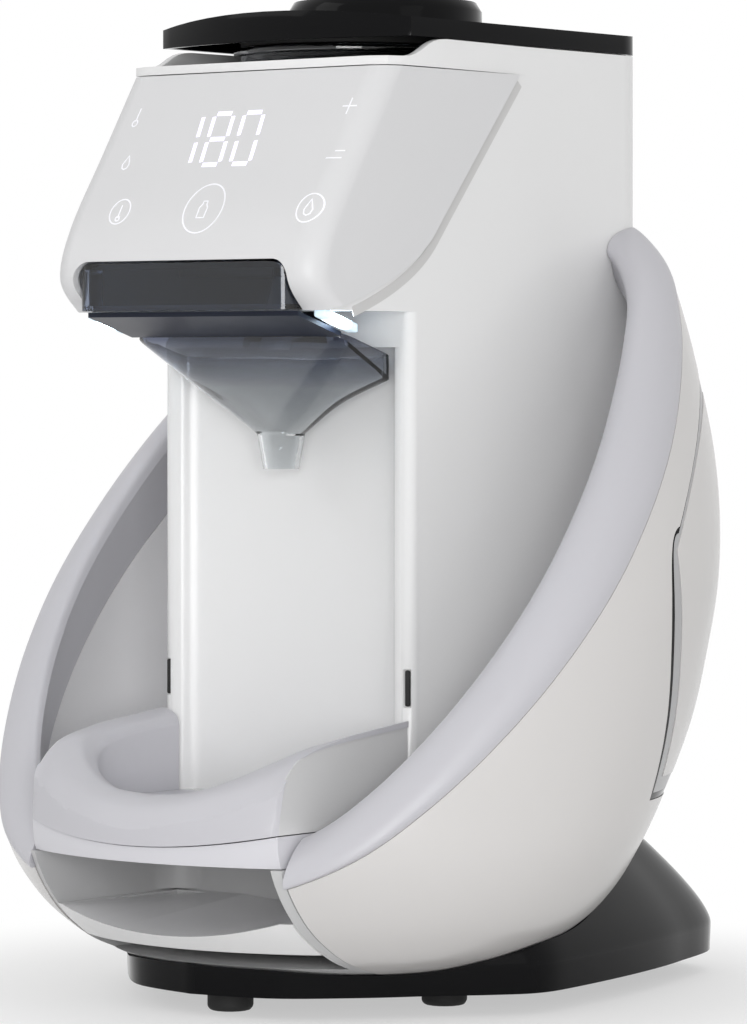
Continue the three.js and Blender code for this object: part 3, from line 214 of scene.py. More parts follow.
def glowing(name, colour, strength, spot=None):
    """Lit plastic: evenly, or with its light gathered round a spot and its mirror image in X."""
    material, tree, shader = new_material(name)
    dark = tuple(c * LIT_TINT_SHARE for c in colour)
    tint = tinted(tree, noise(tree, LIT_SCALE), dark, colour)
    tree.links.new(tint, shader.inputs["Base Color"])
    tree.links.new(tint, shader.inputs["Emission Color"])
    preset(shader, {"Emission Strength": strength, "Roughness": LIT_ROUGHNESS})
    if spot:
        where = add(tree, "ShaderNodeTexCoord")
        folded = add(tree, "ShaderNodeVectorMath", operation="ABSOLUTE")
        away = add(tree, "ShaderNodeVectorMath", operation="DISTANCE")
        away.inputs[1].default_value = [abs(value) for value in spot]
        level = add(tree, "ShaderNodeMapRange", interpolation_type="SMOOTHSTEP")
        preset(level, {"From Min": SPOT_NEAR, "From Max": SPOT_FAR})
        preset(level, {"To Min": strength, "To Max": strength / SPOT_FALL})
        tree.links.new(where.outputs["Object"], folded.inputs[0])
        tree.links.new(folded.outputs["Vector"], away.inputs[0])
        tree.links.new(away.outputs["Value"], level.inputs["Value"])
        tree.links.new(level.outputs["Result"], shader.inputs["Emission Strength"])
    return material


LAMP_SPOT = [(a + b) / 2 for a, b in zip(*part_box("led_lamp_right"))]
WHITE = moulded("white_gloss_plastic", (0.80, 0.80, 0.80), 0.24)
# White plastic of the bowl, painted darker than WHITE: painted shade on the bowl's sides
SHADED_SHELL_WHITE = moulded("warm_white_gloss_painted_shade", (0.64, 0.625, 0.615), 0.24)
PANEL = moulded("pearl_panel_plastic", (0.69, 0.69, 0.698), 0.42)
LAVENDER = moulded("lavender_satin_plastic", (0.55, 0.545, 0.578), 0.42)
PALE_LAVENDER = moulded("pale_satin_plastic", (0.66, 0.655, 0.69), 0.4)
# Lavender satin of the bowl's inside, painted far lighter than the rim's: painted light in the
# shaded bowl
LIT_INNER_LAVENDER = moulded("inner_satin_painted_light", (0.87, 0.865, 0.88), 0.45)
CHEEK_GREY = moulded("cheek_grey_plastic", (0.62, 0.62, 0.622), 0.45)
# Grey of the ribbon behind the visor's edge: a painted shadow on the tower's side
PAINTED_SEAM_SHADOW = moulded("painted_seam_shadow", (0.6, 0.595, 0.59), 0.6)
BAY_GREY = moulded("cavity_grey_plastic", (0.54, 0.54, 0.542), 0.45)
# Grey of the shallow band round the rear cover: painted shade of the groove's sloping side
BAND_SHADE_GREY = moulded("cover_band_painted_shade", (0.42, 0.42, 0.425), 0.3)
GREY = moulded("grey_satin_plastic", (0.17, 0.17, 0.172), 0.5)
BLACK = moulded("piano_black_plastic", (0.003, 0.003, 0.0035), 0.1, gloss=0.1)
RUBBER = moulded("black_rubber", (0.012, 0.012, 0.012), 0.75, grain=0.2)
STEEL = moulded("plain_steel", (0.6, 0.6, 0.61), 0.3, metallic=1.0)
BOARD = moulded("circuit_board", (0.015, 0.09, 0.04), 0.5)
CLEAR = see_through("clear_plastic", (0.9, 0.93, 0.95))
SMOKE = see_through("smoked_clear_plastic", (0.6, 0.62, 0.66))
LIP_SMOKE = see_through("dark_smoked_plastic", (0.2, 0.235, 0.31))
FLANGE_SMOKE = moulded("deep_smoked_plastic", (0.016, 0.02, 0.034), 0.3, gloss=0.16)
# The funnel's smoke tint, with painted shade that darkens it towards the head's underside
FUNNEL_SMOKE_AND_SHADE = smoke_with_painted_shade("smoked_plastic_painted_shade", [
    (212, (0.84, 0.86, 0.87)), (228, (0.76, 0.78, 0.8)),
    (237, (0.5, 0.53, 0.59)), (246, (0.08, 0.095, 0.15)),
])
LAMP = glowing("lamp_lens", (0.72, 0.89, 1.0), 26.0, spot=LAMP_SPOT)
DIGITS = glowing("display_light", (0.86, 0.83, 1.0), 0.55)
ICONS = glowing("icon_light", (0.86, 0.86, 0.9), 0.2)

SLOT_LOOKS = {
    "white_plastic": WHITE,
    "grey_plastic": LAVENDER,
    "dark_plastic": GREY,
    "black_gloss": BLACK,
    "smoke_plastic": SMOKE,
    "clear_plastic": CLEAR,
    "rubber": RUBBER,
    "steel": STEEL,
    "board": BOARD,
    "lamp": LAMP,
}


# Putting pieces into the scene

WELD, FLAT_ANGLE = 0.01 * MM, 0.5
EDGE, EDGE_ANGLE, EDGE_SEGMENTS = 0.6 * MM, 32, 2
NORMAL_WEIGHT = 60


def place(name, mesh, material, body):
    """A new piece of a mesh, which rides a body and has a material slot."""
    piece = in_scene(name, mesh)
    mesh.materials.clear()
    mesh.materials.append(material)
    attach(piece, body)
    return piece


def smooth(mesh, angle):
    mesh.polygons.foreach_set("use_smooth", [True] * len(mesh.polygons))
    mesh.set_sharp_from_angle(angle=math.radians(angle))


def applied(mesh, name, setup):
    """The mesh after the modifiers that setup adds to a helper object."""
    helper = in_scene(name, mesh)
    setup(helper)
    graph = bpy.context.evaluated_depsgraph_get()
    after = bpy.data.meshes.new_from_object(helper.evaluated_get(graph))
    bpy.data.objects.remove(helper)
    return after


def dressed(node):
    """A copy of a CAD node with welded points, softened edges and smooth shading, in its place."""
    source = frame["nodes"][node]
    build = bmesh.new()
    build.from_mesh(source.data)
    bmesh.ops.remove_doubles(build, verts=build.verts, dist=WELD)
    bmesh.ops.dissolve_limit(
        build, angle_limit=math.radians(FLAT_ANGLE), verts=build.verts, edges=build.edges
    )
    mesh = bpy.data.meshes.new(node + "_skin")
    build.to_mesh(mesh)
    build.free()

    def soften(helper):
        bevel = helper.modifiers.new("edges", "BEVEL")
        bevel.width = EDGE
        bevel.segments = EDGE_SEGMENTS
        bevel.limit_method = "ANGLE"
        bevel.angle_limit = math.radians(EDGE_ANGLE)
        bevel.harden_normals = False

    mesh = applied(mesh, "edging", soften)
    smooth(mesh, EDGE_ANGLE)
    slot = slot_of[node]
    piece = place(node + "_skin", mesh, SLOT_LOOKS[slot], body_of[node])
    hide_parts(node)


def finished(name, mesh, nodes, angle=30, material=None):
    """Shade a built mesh and put it in the place of its CAD nodes."""
    smooth(mesh, angle)

    def weigh(helper):
        step = helper.modifiers.new("normals", "WEIGHTED_NORMAL")
        step.keep_sharp = True
        step.weight = NORMAL_WEIGHT

    mesh = applied(mesh, "weighing", weigh)
    slot = slot_of[nodes[0]]
    piece = place(name, mesh, material or SLOT_LOOKS[slot], body_of[nodes[0]])
    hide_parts(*nodes)
    replaced.update(nodes)


def added(name, mesh, node, angle, material):
    """Shade a built mesh and add it to the body of a CAD node."""
    smooth(mesh, angle)
    place(name, mesh, material, body_of[node])


# Building meshes, in millimetres in the part's working frame

SHIFT_Y = -51.884
FAR, OVERRUN = 196.0, 30.0
JOIN = 0.002 * MM
HALVINGS = 34


def towards(a, b, share):
    return tuple(p + (q - p) * share for p, q in zip(a, b))


def halved(low, high, short):
    """The value between low and high up to which short(value) holds."""
    for _ in range(HALVINGS):
        middle = (low + high) / 2
        if short(middle):
            low = middle
        else:
            high = middle
    return (low + high) / 2


def catmull(points, share):
    """Point of an open Catmull-Rom curve through tuples, at a share of its length in steps."""
    last = len(points) - 1
    along = min(last, max(0, share * last))
    i = min(int(along), last - 1)
    t = along - i
    before, after = points[max(0, i - 1)], points[min(last, i + 2)]
    return tuple(
        0.5 * (
            2 * b + (c - a) * t + (2 * a - 5 * b + 4 * c - d) * t * t
            + (3 * b - a - 3 * c + d) * t**3
        )
        for a, b, c, d in zip(before, points[i], points[i + 1], after)
    )


def curve(points, steps):
    return [catmull(points, k / steps) for k in range(steps + 1)]


def quadratic(a, b, c, steps=24):
    """Points after the first of a curve from a to c that is drawn towards b."""
    return [
        tuple((1 - t) ** 2 * p + 2 * t * (1 - t) * q + t * t * r for p, q, r in zip(a, b, c))
        for t in (k / steps for k in range(1, steps + 1))
    ]


def arc(x, y, radius, start, end, steps=10):
    angles = [start + (end - start) * k / steps for k in range(steps + 1)]
    return [(x + radius * math.cos(t), y + radius * math.sin(t)) for t in angles]


def plan(half, front, back, front_radius, back_radius, steps=10):
    """Outline in X and Y of a box with round corners."""
    front_x, front_y = half - front_radius, front + front_radius
    back_x, back_y = half - back_radius, back - back_radius
    quarter = TURN / 4
    return (
        arc(front_x, front_y, front_radius, -quarter, 0, steps)
        + arc(back_x, back_y, back_radius, 0, quarter, steps)
        + arc(-back_x, back_y, back_radius, quarter, 2 * quarter, steps)
        + arc(-front_x, front_y, front_radius, 2 * quarter, 3 * quarter, steps)
    )


def rounded_top(half, top, corner):
    """Outline in X and Z of a plate that stands on z = 0, with round top corners."""
    x, z = half - corner, top - corner
    outline = [(-half, 0), (half, 0), *arc(x, z, corner, 0, TURN / 4)]
    return outline + arc(-x, z, corner, TURN / 4, TURN / 2)


def mesh_of(name, points, faces):
    mesh = bpy.data.meshes.new(name)
    mesh.from_pydata([(x * MM, (y + SHIFT_Y) * MM, z * MM) for x, y, z in points], [], faces)
    build = bmesh.new()
    build.from_mesh(mesh)
    bmesh.ops.remove_doubles(build, verts=build.verts, dist=JOIN)
    bmesh.ops.recalc_face_normals(build, faces=build.faces)
    build.to_mesh(mesh)
    build.free()
    return mesh


def lofts(name, parts):
    """One mesh of many lofts, each given as its loops and whether it joins end to end."""
    points, faces = [], []
    for loops, ring in parts:
        first, count = len(points), len(loops[0])
        points += [point for loop in loops for point in loop]
        for row in range(len(loops) if ring else len(loops) - 1):
            low = first + row * count
            high = first + (row + 1) % len(loops) * count
            for i in range(count):
                j = (i + 1) % count
                faces.append((low + i, low + j, high + j, high + i))
        if not ring:
            faces.append(tuple(reversed(range(first, first + count))))
            faces.append(tuple(range(len(points) - count, len(points))))
    return mesh_of(name, points, faces)


def loft(name, loops, ring=False):
    return lofts(name, [(loops, ring)])


def pull(name, outline, axis, start, end):
    """Prism of an outline: in Y and Z along X, in X and Z along Y, or in X and Y along Z."""
    where = {
        "X": lambda p, q, along: (along, p, q),
        "Y": lambda p, q, along: (p, along, q),
        "Z": lambda p, q, along: (p, q, along),
    }[axis]
    return loft(name, [[where(p, q, along) for p, q in outline] for along in (start, end)])


def block(left, right, front, back, bottom, top):
    outline = [(left, front), (right, front), (right, back), (left, back)]
    return pull("block", outline, "Z", bottom, top)


def disc(radius, bottom, top, x, y, steps=48):
    outline = arc(x, y, radius, 0, TURN * (1 - 1 / steps), steps - 1)
    return pull("disc", outline, "Z", bottom, top)


def joined(mesh, kind, *tools):
    """The mesh after booleans of one kind with each tool mesh."""
    for tool in tools:
        other = in_scene("tool", tool)

        def setup(helper):
            step = helper.modifiers.new("join", "BOOLEAN")
            step.operation = kind
            step.solver = "MANIFOLD"
            step.object = other

        mesh = applied(mesh, "joining", setup)
        bpy.data.objects.remove(other)
    return mesh


def cut(mesh, *tools):
    return joined(mesh, "DIFFERENCE", *tools)


def common(mesh, *tools):
    return joined(mesh, "INTERSECT", *tools)


def union(mesh, *tools):
    return joined(mesh, "UNION", *tools)


# The egg that the bowl, the rim, the shelf and the tray share: the same sizes as the solids.
# Its rows are shares of its height, of its half width and depth, and of its centre's way back.

GAP = 0.4
EGG_BOTTOM, EGG_TOP = 11.0, 302.0
EGG_HALF_WIDTH, EGG_HALF_DEPTH, EGG_BACK = 136.0, 121.0, 105.0
EGG_WALL, EGG_SKIN = 3.0, 0.08
EGG_ROW_SHARES = [
    (0, 0.32, 0.2), (0.012, 0.5, 0.2), (0.03, 0.62, 0.2), (0.065, 0.745, 0.2),
    (0.103, 0.83, 0.2), (0.168, 0.915, 0.21), (0.237, 0.958, 0.27), (0.323, 0.988, 0.36),
    (0.409, 0.995, 0.44), (0.495, 0.985, 0.53), (0.581, 0.949, 0.62), (0.667, 0.893, 0.705),
    (0.753, 0.816, 0.79), (0.835, 0.732, 0.875), (0.89, 0.665, 0.93), (0.931, 0.588, 0.965),
    (0.959, 0.515, 0.985), (0.983, 0.404, 1), (1, 0.28, 1),
]
RIM_HEIGHT, RIM_SLOPE = 125.0, 1.04
TOWER_HALF_WIDTH = EGG_HALF_WIDTH * 0.441
TOWER_BACK, TOWER_TOP = 152.0, 356.0
TOWER_FRONT_RADIUS, TOWER_BACK_RADIUS, PASSAGE_BOTTOM = 4.0, 20.0, 250.0
CHANNEL_HALF_WIDTH = TOWER_HALF_WIDTH + 0.6
OPENING_HALF_WIDTH, OPENING_BOTTOM = CHANNEL_HALF_WIDTH - 4, 15.0


def egg_row(share):
    """Width and centre shares at a height share, on the cubic spline that the solids use."""
    rows = EGG_ROW_SHARES
    i = 1
    while i < len(rows) - 1 and share > rows[i][0]:
        i += 1
    below, above = rows[i - 1], rows[i]
    before = rows[i - 2] if i > 1 else above
    after = rows[i + 1] if i + 1 < len(rows) else below
    half = (above[0] - below[0]) / 2
    bend_before = half / (below[0] - before[0])
    bend_after = half / (after[0] - above[0])
    p = (share - below[0]) / (above[0] - below[0])
    weights = (
        -bend_before * p**3 + 2 * bend_before * p * p - bend_before * p,
        (1 + bend_before) * p**3 - (1.5 + 2 * bend_before) * p * p + (bend_before - 0.5) * p + 1,
        -(1 + bend_after) * p**3 + (1.5 + bend_after) * p * p + 0.5 * p,
        bend_after * p**3 - bend_after * p * p,
    )
    knots = (before, below, above, after)
    return tuple(sum(w * knot[k] for w, knot in zip(weights, knots)) for k in (1, 2))


def egg_point(angle, z, inset):
    """Point at a height on the egg shrunk by an inset: the angle is 0 at the front."""
    low, high = EGG_BOTTOM + inset, EGG_TOP - inset
    width, centre = egg_row(min(1, max(0, (z - low) / (high - low))))
    x = width * (EGG_HALF_WIDTH - inset) * math.sin(angle)
    y = centre * EGG_BACK - width * (EGG_HALF_DEPTH - inset) * math.cos(angle)
    return (x, y, z)


def egg(inset, steps=160, rows=110):
    low, high = EGG_BOTTOM + inset, EGG_TOP - inset
    shares = [0.5 - 0.5 * math.cos(TURN / 2 * k / rows) for k in range(rows + 1)]
    angles = [TURN * i / steps for i in range(steps)]
    return loft("egg", [
        [egg_point(angle, low + share * (high - low), inset) for angle in angles]
        for share in shares
    ])


def rim_front(z):
    """Y of the slanted plane that cuts the egg open."""
    return (z - RIM_HEIGHT) / RIM_SLOPE


def rim_point(angle, shift, inset):
    """Point of the inset egg on the plane that lies a shift in front of the rim's."""

    def behind(z):
        return egg_point(angle, z, inset)[1] > rim_front(z) - shift

    return egg_point(angle, halved(EGG_BOTTOM + inset, EGG_TOP - inset, behind), inset)


def above_rim(shift):
    low, high = EGG_BOTTOM - OVERRUN, TOWER_TOP + 2 * OVERRUN
    return pull("rim", [
        (rim_front(low) - shift, low), (rim_front(high) - shift, high), (-FAR, high), (-FAR, low),
    ], "X", -FAR, FAR)


def channel(back, bottom):
    """Space of the shelf and the tray, at the front of the bowl."""
    return block(-CHANNEL_HALF_WIDTH, CHANNEL_HALF_WIDTH, -FAR, back, bottom, EGG_TOP)


def tower_passage(grow):
    outline = plan(
        TOWER_HALF_WIDTH + grow, 0, TOWER_BACK + grow, TOWER_FRONT_RADIUS, TOWER_BACK_RADIUS
    )
    return pull("passage", outline, "Z", PASSAGE_BOTTOM, TOWER_TOP)


# Bowl: shell, removable cover with its groove, padded rim and liner. Two sizes follow the
# photograph more closely than the solids: the cover's low edge and the rim's slim front corners.

TRAY_BACK, BAY_WALL, BAY_DEPTH = 3.0, 2.6, 14.0
COVER_LOW, COVER_HIGH, COVER_KNEE_SHARE = 80.0, 232.0, 0.6235
COVER_FRONT, COVER_WAIST, COVER_TOP_BACK = 61.0, 70.0, 134.0
COVER_BEND_FRONT, COVER_BEND_HEIGHT = COVER_TOP_BACK - 30, COVER_HIGH - 15
COVER_GROOVE, COVER_TRIM, COVER_BAND = 2.6, 2.5, 5.7
COVER_SPLIT, TRIM_INSET = 0.1, 0.35
BEZEL_FRONT, BEZEL_SIDE, BEZEL_BACK, BEZEL_SLIM = 13.0, 30.0, 23.0, 11.0
BEZEL_THICKNESS, BEZEL_BULGE, BEZEL_SKIRT, BEZEL_TUCK = 14.0, 1.5, 13.0, 1.6
BEZEL_EDGE_INSET = 0.1
BEZEL_STATIONS, BEZEL_STEPS = 240, 30
LINER_INSET = BEZEL_THICKNESS + 2.4
LINER_STEPS, LINER_ROWS = 120, 90


def cover_region(grow):
    """Prism along X round the removable cover, grown on its edges."""
    knee_height = COVER_LOW + COVER_KNEE_SHARE * (COVER_HIGH - COVER_LOW)
    front, low, high = COVER_FRONT - grow, COVER_LOW - grow, COVER_HIGH + grow
    start = (front, (COVER_LOW + knee_height) / 2)
    knee = (COVER_WAIST + grow / 2, knee_height + grow)
    outline = [(front, low), start]
    outline += quadratic(start, (front, knee_height), knee)
    outline += quadratic(knee, (COVER_BEND_FRONT, COVER_BEND_HEIGHT), (COVER_TOP_BACK, high))
    outline += [(EGG_BACK + FAR, high), (EGG_BACK + FAR, low)]
    return pull("cover", outline, "X", -FAR, FAR)


def make_bowl():
    blank = cut(egg(EGG_SKIN), egg(EGG_WALL), above_rim(0))
    opening = channel(TRAY_BACK + BAY_WALL + 2 * GAP, OPENING_BOTTOM)
    shell = cut(blank.copy(), opening, cover_region(COVER_GROOVE))
    # The shell and the rear cover take the white with painted shade
    finished("bowl_shell", shell, ["outer_shell"], 30, SHADED_SHELL_WHITE)
    cover = common(blank, cover_region(-COVER_BAND))
    finished("bowl_rear_cover", cover, ["rear_cover"], 30, SHADED_SHELL_WHITE)
    sunk = cut(egg(TRIM_INSET), egg(EGG_WALL), above_rim(0))
    band = cut(common(sunk.copy(), cover_region(0)), cover_region(COVER_SPLIT - COVER_BAND))
    # The sunk band is coloured grey with painted shade
    added("cover_band", band, "rear_cover", 30, BAND_SHADE_GREY)
    trim = cut(common(sunk, cover_region(COVER_TRIM)), cover_region(COVER_SPLIT))
    finished("bowl_cover_trim", trim, ["rear_cover_trim"])


def bezel_width(angle):
    """Width of the padded rim, which narrows at the front and most of all at its corners."""
    back = (1 - math.cos(angle)) / 2
    ends = BEZEL_FRONT + (BEZEL_BACK - BEZEL_FRONT) * back
    sides = (BEZEL_SIDE - (BEZEL_FRONT + BEZEL_BACK) / 2) * math.sin(angle) ** 2
    corners = max(0, math.cos(angle)) * math.sin(2 * angle) ** 2
    return ends + sides - BEZEL_SLIM * corners


def bezel_section(width):
    """Shifts from the rim's plane and insets from the egg: the padded face, then the skirt."""
    thick = BEZEL_THICKNESS
    face = [
        (GAP, BEZEL_EDGE_INSET), (0.3 * width, -BEZEL_BULGE), (0.65 * width, -0.5 * BEZEL_BULGE),
        (0.9 * width, 0.2 * thick), (width, 0.5 * thick), (0.93 * width, 0.8 * thick),
        (0.7 * width, thick),
    ]
    skirt = [
        (-BEZEL_SKIRT, LINER_INSET), (-BEZEL_SKIRT, thick), (0, EGG_WALL + BEZEL_TUCK),
        (GAP, EGG_WALL),
    ]
    return curve(face, BEZEL_STEPS) + skirt


def make_bezel():
    loops = []
    for i in range(BEZEL_STATIONS):
        angle = -TURN * i / BEZEL_STATIONS
        section = bezel_section(bezel_width(angle))
        loops.append([rim_point(angle, shift, inset) for shift, inset in section])
    bezel = cut(loft("bezel", loops, ring=True), channel(0, OPENING_BOTTOM), tower_passage(GAP))
    finished("padded_bezel", bezel, ["rim_bezel"], 34)


def make_liner():
    liner = cut(
        egg(BEZEL_THICKNESS, LINER_STEPS, LINER_ROWS), egg(LINER_INSET, LINER_STEPS, LINER_ROWS),
        above_rim(-BEZEL_SKIRT - GAP), tower_passage(GAP), channel(BAY_DEPTH, 0),
    )
    nodes = ["inner_bowl_left", "inner_bowl_right"]
    # The liner takes the lavender with painted light
    finished("inner_bowl", liner, nodes, 30, LIT_INNER_LAVENDER)


# Head: the visor, its side edge and the notch for the lip, which flares less than the solid's

VISOR_WALL, VISOR_RADIUS = 2.8, 10.0
VISOR_HALF_WIDTH = TOWER_HALF_WIDTH + VISOR_WALL + GAP
HEAD_BOTTOM, HEAD_NOSE, HEAD_MID, HEAD_TOP = 256, 268, 287, 345
HEAD_BOTTOM_FRONT, HEAD_NOSE_FRONT, HEAD_MID_FRONT = -50.4, -60.4, -54.8
HEAD_TOP_FRONT, HEAD_BACK = -18, 70.0
HEAD_CURVE = [
    (HEAD_BOTTOM_FRONT, HEAD_BOTTOM), (HEAD_NOSE_FRONT, HEAD_NOSE), (HEAD_MID_FRONT, HEAD_MID),
    ((HEAD_MID_FRONT + HEAD_TOP_FRONT) / 2, (HEAD_MID + HEAD_TOP) / 2), (HEAD_TOP_FRONT, HEAD_TOP),
]
HEAD_ROWS, HEAD_CORNER_STEPS = 48, 12
SEAM_TOP = (62, HEAD_TOP)
SEAM_KNEE = (12, HEAD_MID - GAP)
SEAM_BEND = (SEAM_KNEE[0] - 14, HEAD_NOSE)
SEAM_END = (HEAD_BOTTOM_FRONT, HEAD_BOTTOM - GAP)
NOTCH_HALF_WIDTH, NOTCH_BACK, NOTCH_TOP = TOWER_HALF_WIDTH - 10, -45.5, 274.5
NOTCH_FLARE, NOTCH_EASE, NOTCH_CORNER = 1.5, 1.4, 7.5


def head_block(inset):
    radius = VISOR_RADIUS - inset
    loops = []
    for y, z in curve(HEAD_CURVE, HEAD_ROWS):
        outline = plan(
            VISOR_HALF_WIDTH - inset, y + inset, HEAD_BACK, radius, radius, HEAD_CORNER_STEPS
        )
        loops.append([(px, py, z) for px, py in outline])
    return loft("head", loops)


def visor_region():
    """Prism along X in front of the visor's side edge."""
    front, top = HEAD_BOTTOM_FRONT - OVERRUN, HEAD_TOP + OVERRUN
    outline = [(SEAM_TOP[0], top), SEAM_TOP, SEAM_KNEE, *quadratic(SEAM_KNEE, SEAM_BEND, SEAM_END)]
    outline += [(front, SEAM_END[1]), (front, top)]
    return pull("visor", outline, "X", -FAR, FAR)


def lip_notch():
    front, overlap = HEAD_NOSE_FRONT - OVERRUN, 1
    flare = NOTCH_FLARE / (NOTCH_BACK - HEAD_NOSE_FRONT)
    half, wide = NOTCH_HALF_WIDTH, NOTCH_HALF_WIDTH + flare * (NOTCH_BACK - front)
    outline = [(-wide, front), (wide, front), (half, NOTCH_BACK), (-half, NOTCH_BACK)]
    across = pull("notch", outline, "Z", 0, NOTCH_TOP)
    face = rounded_top(half + NOTCH_EASE, NOTCH_TOP, NOTCH_CORNER)
    return common(across, pull("face", face, "Y", front - overlap, NOTCH_BACK + overlap))


def make_visor():
    visor = cut(head_block(0), head_block(VISOR_WALL))
    visor = cut(common(visor, visor_region()), lip_notch())
    finished("visor_shell", visor, ["head_visor"], 34, PANEL)


# Bottle bay

SHELF_FLOOR, SHELF_BOTTOM = 76.0, 70.0
UNDER_ROOT, UNDER_ROOT_FRONT = 243.0, -7.0
UNDER_SLOPE = 12.5 / 42
BAY_INNER_HALF = TOWER_HALF_WIDTH - 9
BAY_LINING, BAY_EDGE, BAY_STEPS = 3.36, 2.8, 72
BAY_HOOK, BAY_HOOK_DEPTH = 0.9, 0.5
BAY_FIT, BAY_FACE = 0.02, -0.03


def make_bay_wall():
    """Curved wall at the back of the bottle bay, with a soft edge down each side."""
    outer_half = BAY_INNER_HALF + BAY_LINING

    def inner(t):
        x, y = BAY_INNER_HALF * math.cos(t), BAY_DEPTH * math.sin(t)
        rest = max(0, BAY_EDGE - y)
        flare = BAY_EDGE - math.sqrt(max(0, BAY_EDGE**2 - rest**2))
        return (x + math.copysign(flare, x), y if y > 0.001 else BAY_FACE)

    hook = [
        (outer_half + BAY_HOOK, BAY_FACE), (outer_half + BAY_HOOK, BAY_HOOK_DEPTH),
        (outer_half, BAY_HOOK_DEPTH + BAY_FIT),
    ]
    outer = [
        (outer_half * math.cos(t), (BAY_DEPTH + BAY_LINING) * math.sin(t))
        for t in (TURN / 2 * k / BAY_STEPS for k in range(1, BAY_STEPS))
    ]
    fine = [TURN / 4 * (1 - (1 - k / BAY_STEPS) ** 2) for k in range(BAY_STEPS + 1)]
    turns = [TURN / 2 - t for t in fine] + list(reversed(fine[:-1]))
    outline = hook + outer + [(-x, y) for x, y in reversed(hook)]
    outline += [inner(t) for t in turns]
    wall = pull("wall", outline, "Z", SHELF_FLOOR + BAY_FIT, UNDER_ROOT - BAY_FIT)
    finished("bay_lining", wall, ["bay_wall"], 30)


# Bottle shelf: rows of the rim's inner edge, crown and outer edge, and the height halfway out

SHELF_HALF_WIDTH = CHANNEL_HALF_WIDTH - 1.2
SHELF_ROWS = [
    ((0, -71.5, 81), (0, -77, 82), (0, -89.5, 67), 79),
    ((17, -70.4, 82.3), (18, -76, 83.4), (19, -88.5, 68.5), 80.4),
    ((31, -65.5, 87), (33.5, -71, 88.2), (38, -84, 72.5), 85),
    ((42, -57, 92.7), (46, -63.5, 94.3), (54, -79, 77), 90.5),
    ((48.7, -46, 97.2), (53, -52.5, 99.4), (61, -66, 93.5), 98.4),
    ((51, -33, 100), (55, -36, 102), (61, -42, 102), 102.4),
    ((51.3, -17, 102), (55, -18, 104), (61, -20, 104.8), 104.8),
    ((51.3, -0.8, 103.2), (55, -0.8, 105.6), (61, -0.8, 107), 106.6),
]
ROWS_HALF_WIDTH = 59.4
ROW_STEPS, SECTION_STEPS = 84, 24
SHELF_SKIN, SHELF_BACK = 0.9, -0.8
WELL_HALF_WIDTH, WELL_FRONT, WELL_ROUND_SHARE = SHELF_HALF_WIDTH - 9 + GAP, -71.5, 0.8
HOLLOW_SIDE, HOLLOW_FRONT, HOLLOW_BACK, HOLLOW_TOP = 10, -61.5, -9, 73
TAB_X, TAB_HALF_WIDTH, TAB_FRONT, TAB_BACK, TAB_LOW, TAB_HIGH = 40, 6, -6, 7, 70.6, 75.2
BELT, BELT_RISE, BELT_BACK = 64.6, 6.0, 30
CHEEK = [
    (-73.5, 73), (-71.2, 87.6), (-66, 94), (-60, 97.4), (-44.8, 100.4), (-20, 102.9), (-0.8, 104.6),
]
CHEEK_STEPS, CHEEK_BACK, CHEEK_LOW = 40, 3, 60
CHEEK_RECESS, CHEEK_PLATE, CHEEK_OUT = 1.1, 0.6, 2
APRON_INSET, APRON_SIDE, APRON_LOW, APRON_HIGH = 2.2, 0.8, 58.5, 70.6
APRON_ROOM_INSET, APRON_ROOM_SIDE, APRON_ROOM_TOP = 4.8, 5.2, 61.6


def shelf_section(row):
    """Closed section of the shelf's rim: up its inner side, over the crown and down the front."""
    inner, crown, outer, halfway = row
    widen = SHELF_HALF_WIDTH / ROWS_HALF_WIDTH

    def at(p, z):
        return (widen * p[0], p[1], z)

    shoulder = (halfway + 1.4 * outer[2]) / 2.4
    lip = towards(inner, crown, 0.4)
    edge = [
        at(inner, inner[2] - 3), at(towards(inner, crown, 0.12), inner[2] - 0.9), at(lip, lip[2]),
        at(crown, crown[2]), at(towards(crown, outer, 0.5), halfway),
        at(towards(crown, outer, 0.82), shoulder), at(outer, outer[2]),
    ]
    foot = [at(outer, BELT), at(towards(inner, outer, 0.2), BELT)]
    return [at(inner, SHELF_BOTTOM), *curve(edge, SECTION_STEPS), *foot]


def shelf_rim():
    columns = [curve(points, ROW_STEPS) for points in zip(*map(shelf_section, SHELF_ROWS))]
    right = [list(section) for section in zip(*columns)]
    left = [[(-x, y, z) for x, y, z in section] for section in reversed(right[1:])]
    return loft("rim", left + right)


def under_belt(lower):
    """Space below the curved line where the shelf ends and its apron begins."""
    side, reach = BELT + BELT_RISE - lower, SHELF_HALF_WIDTH + GAP
    middle = (0, side - 2 * BELT_RISE)
    outline = [(-reach, side), *quadratic((-reach, side), middle, (reach, side))]
    return pull("belt", outline + [(reach, 0), (-reach, 0)], "Y", -FAR, BELT_BACK)


def between_sides(side, inner, outer, outline):
    """Prism between two insets from one side of the shelf."""
    ends = [side * (SHELF_HALF_WIDTH - inset) for inset in (inner, outer)]
    return pull("side", outline, "X", min(ends), max(ends))


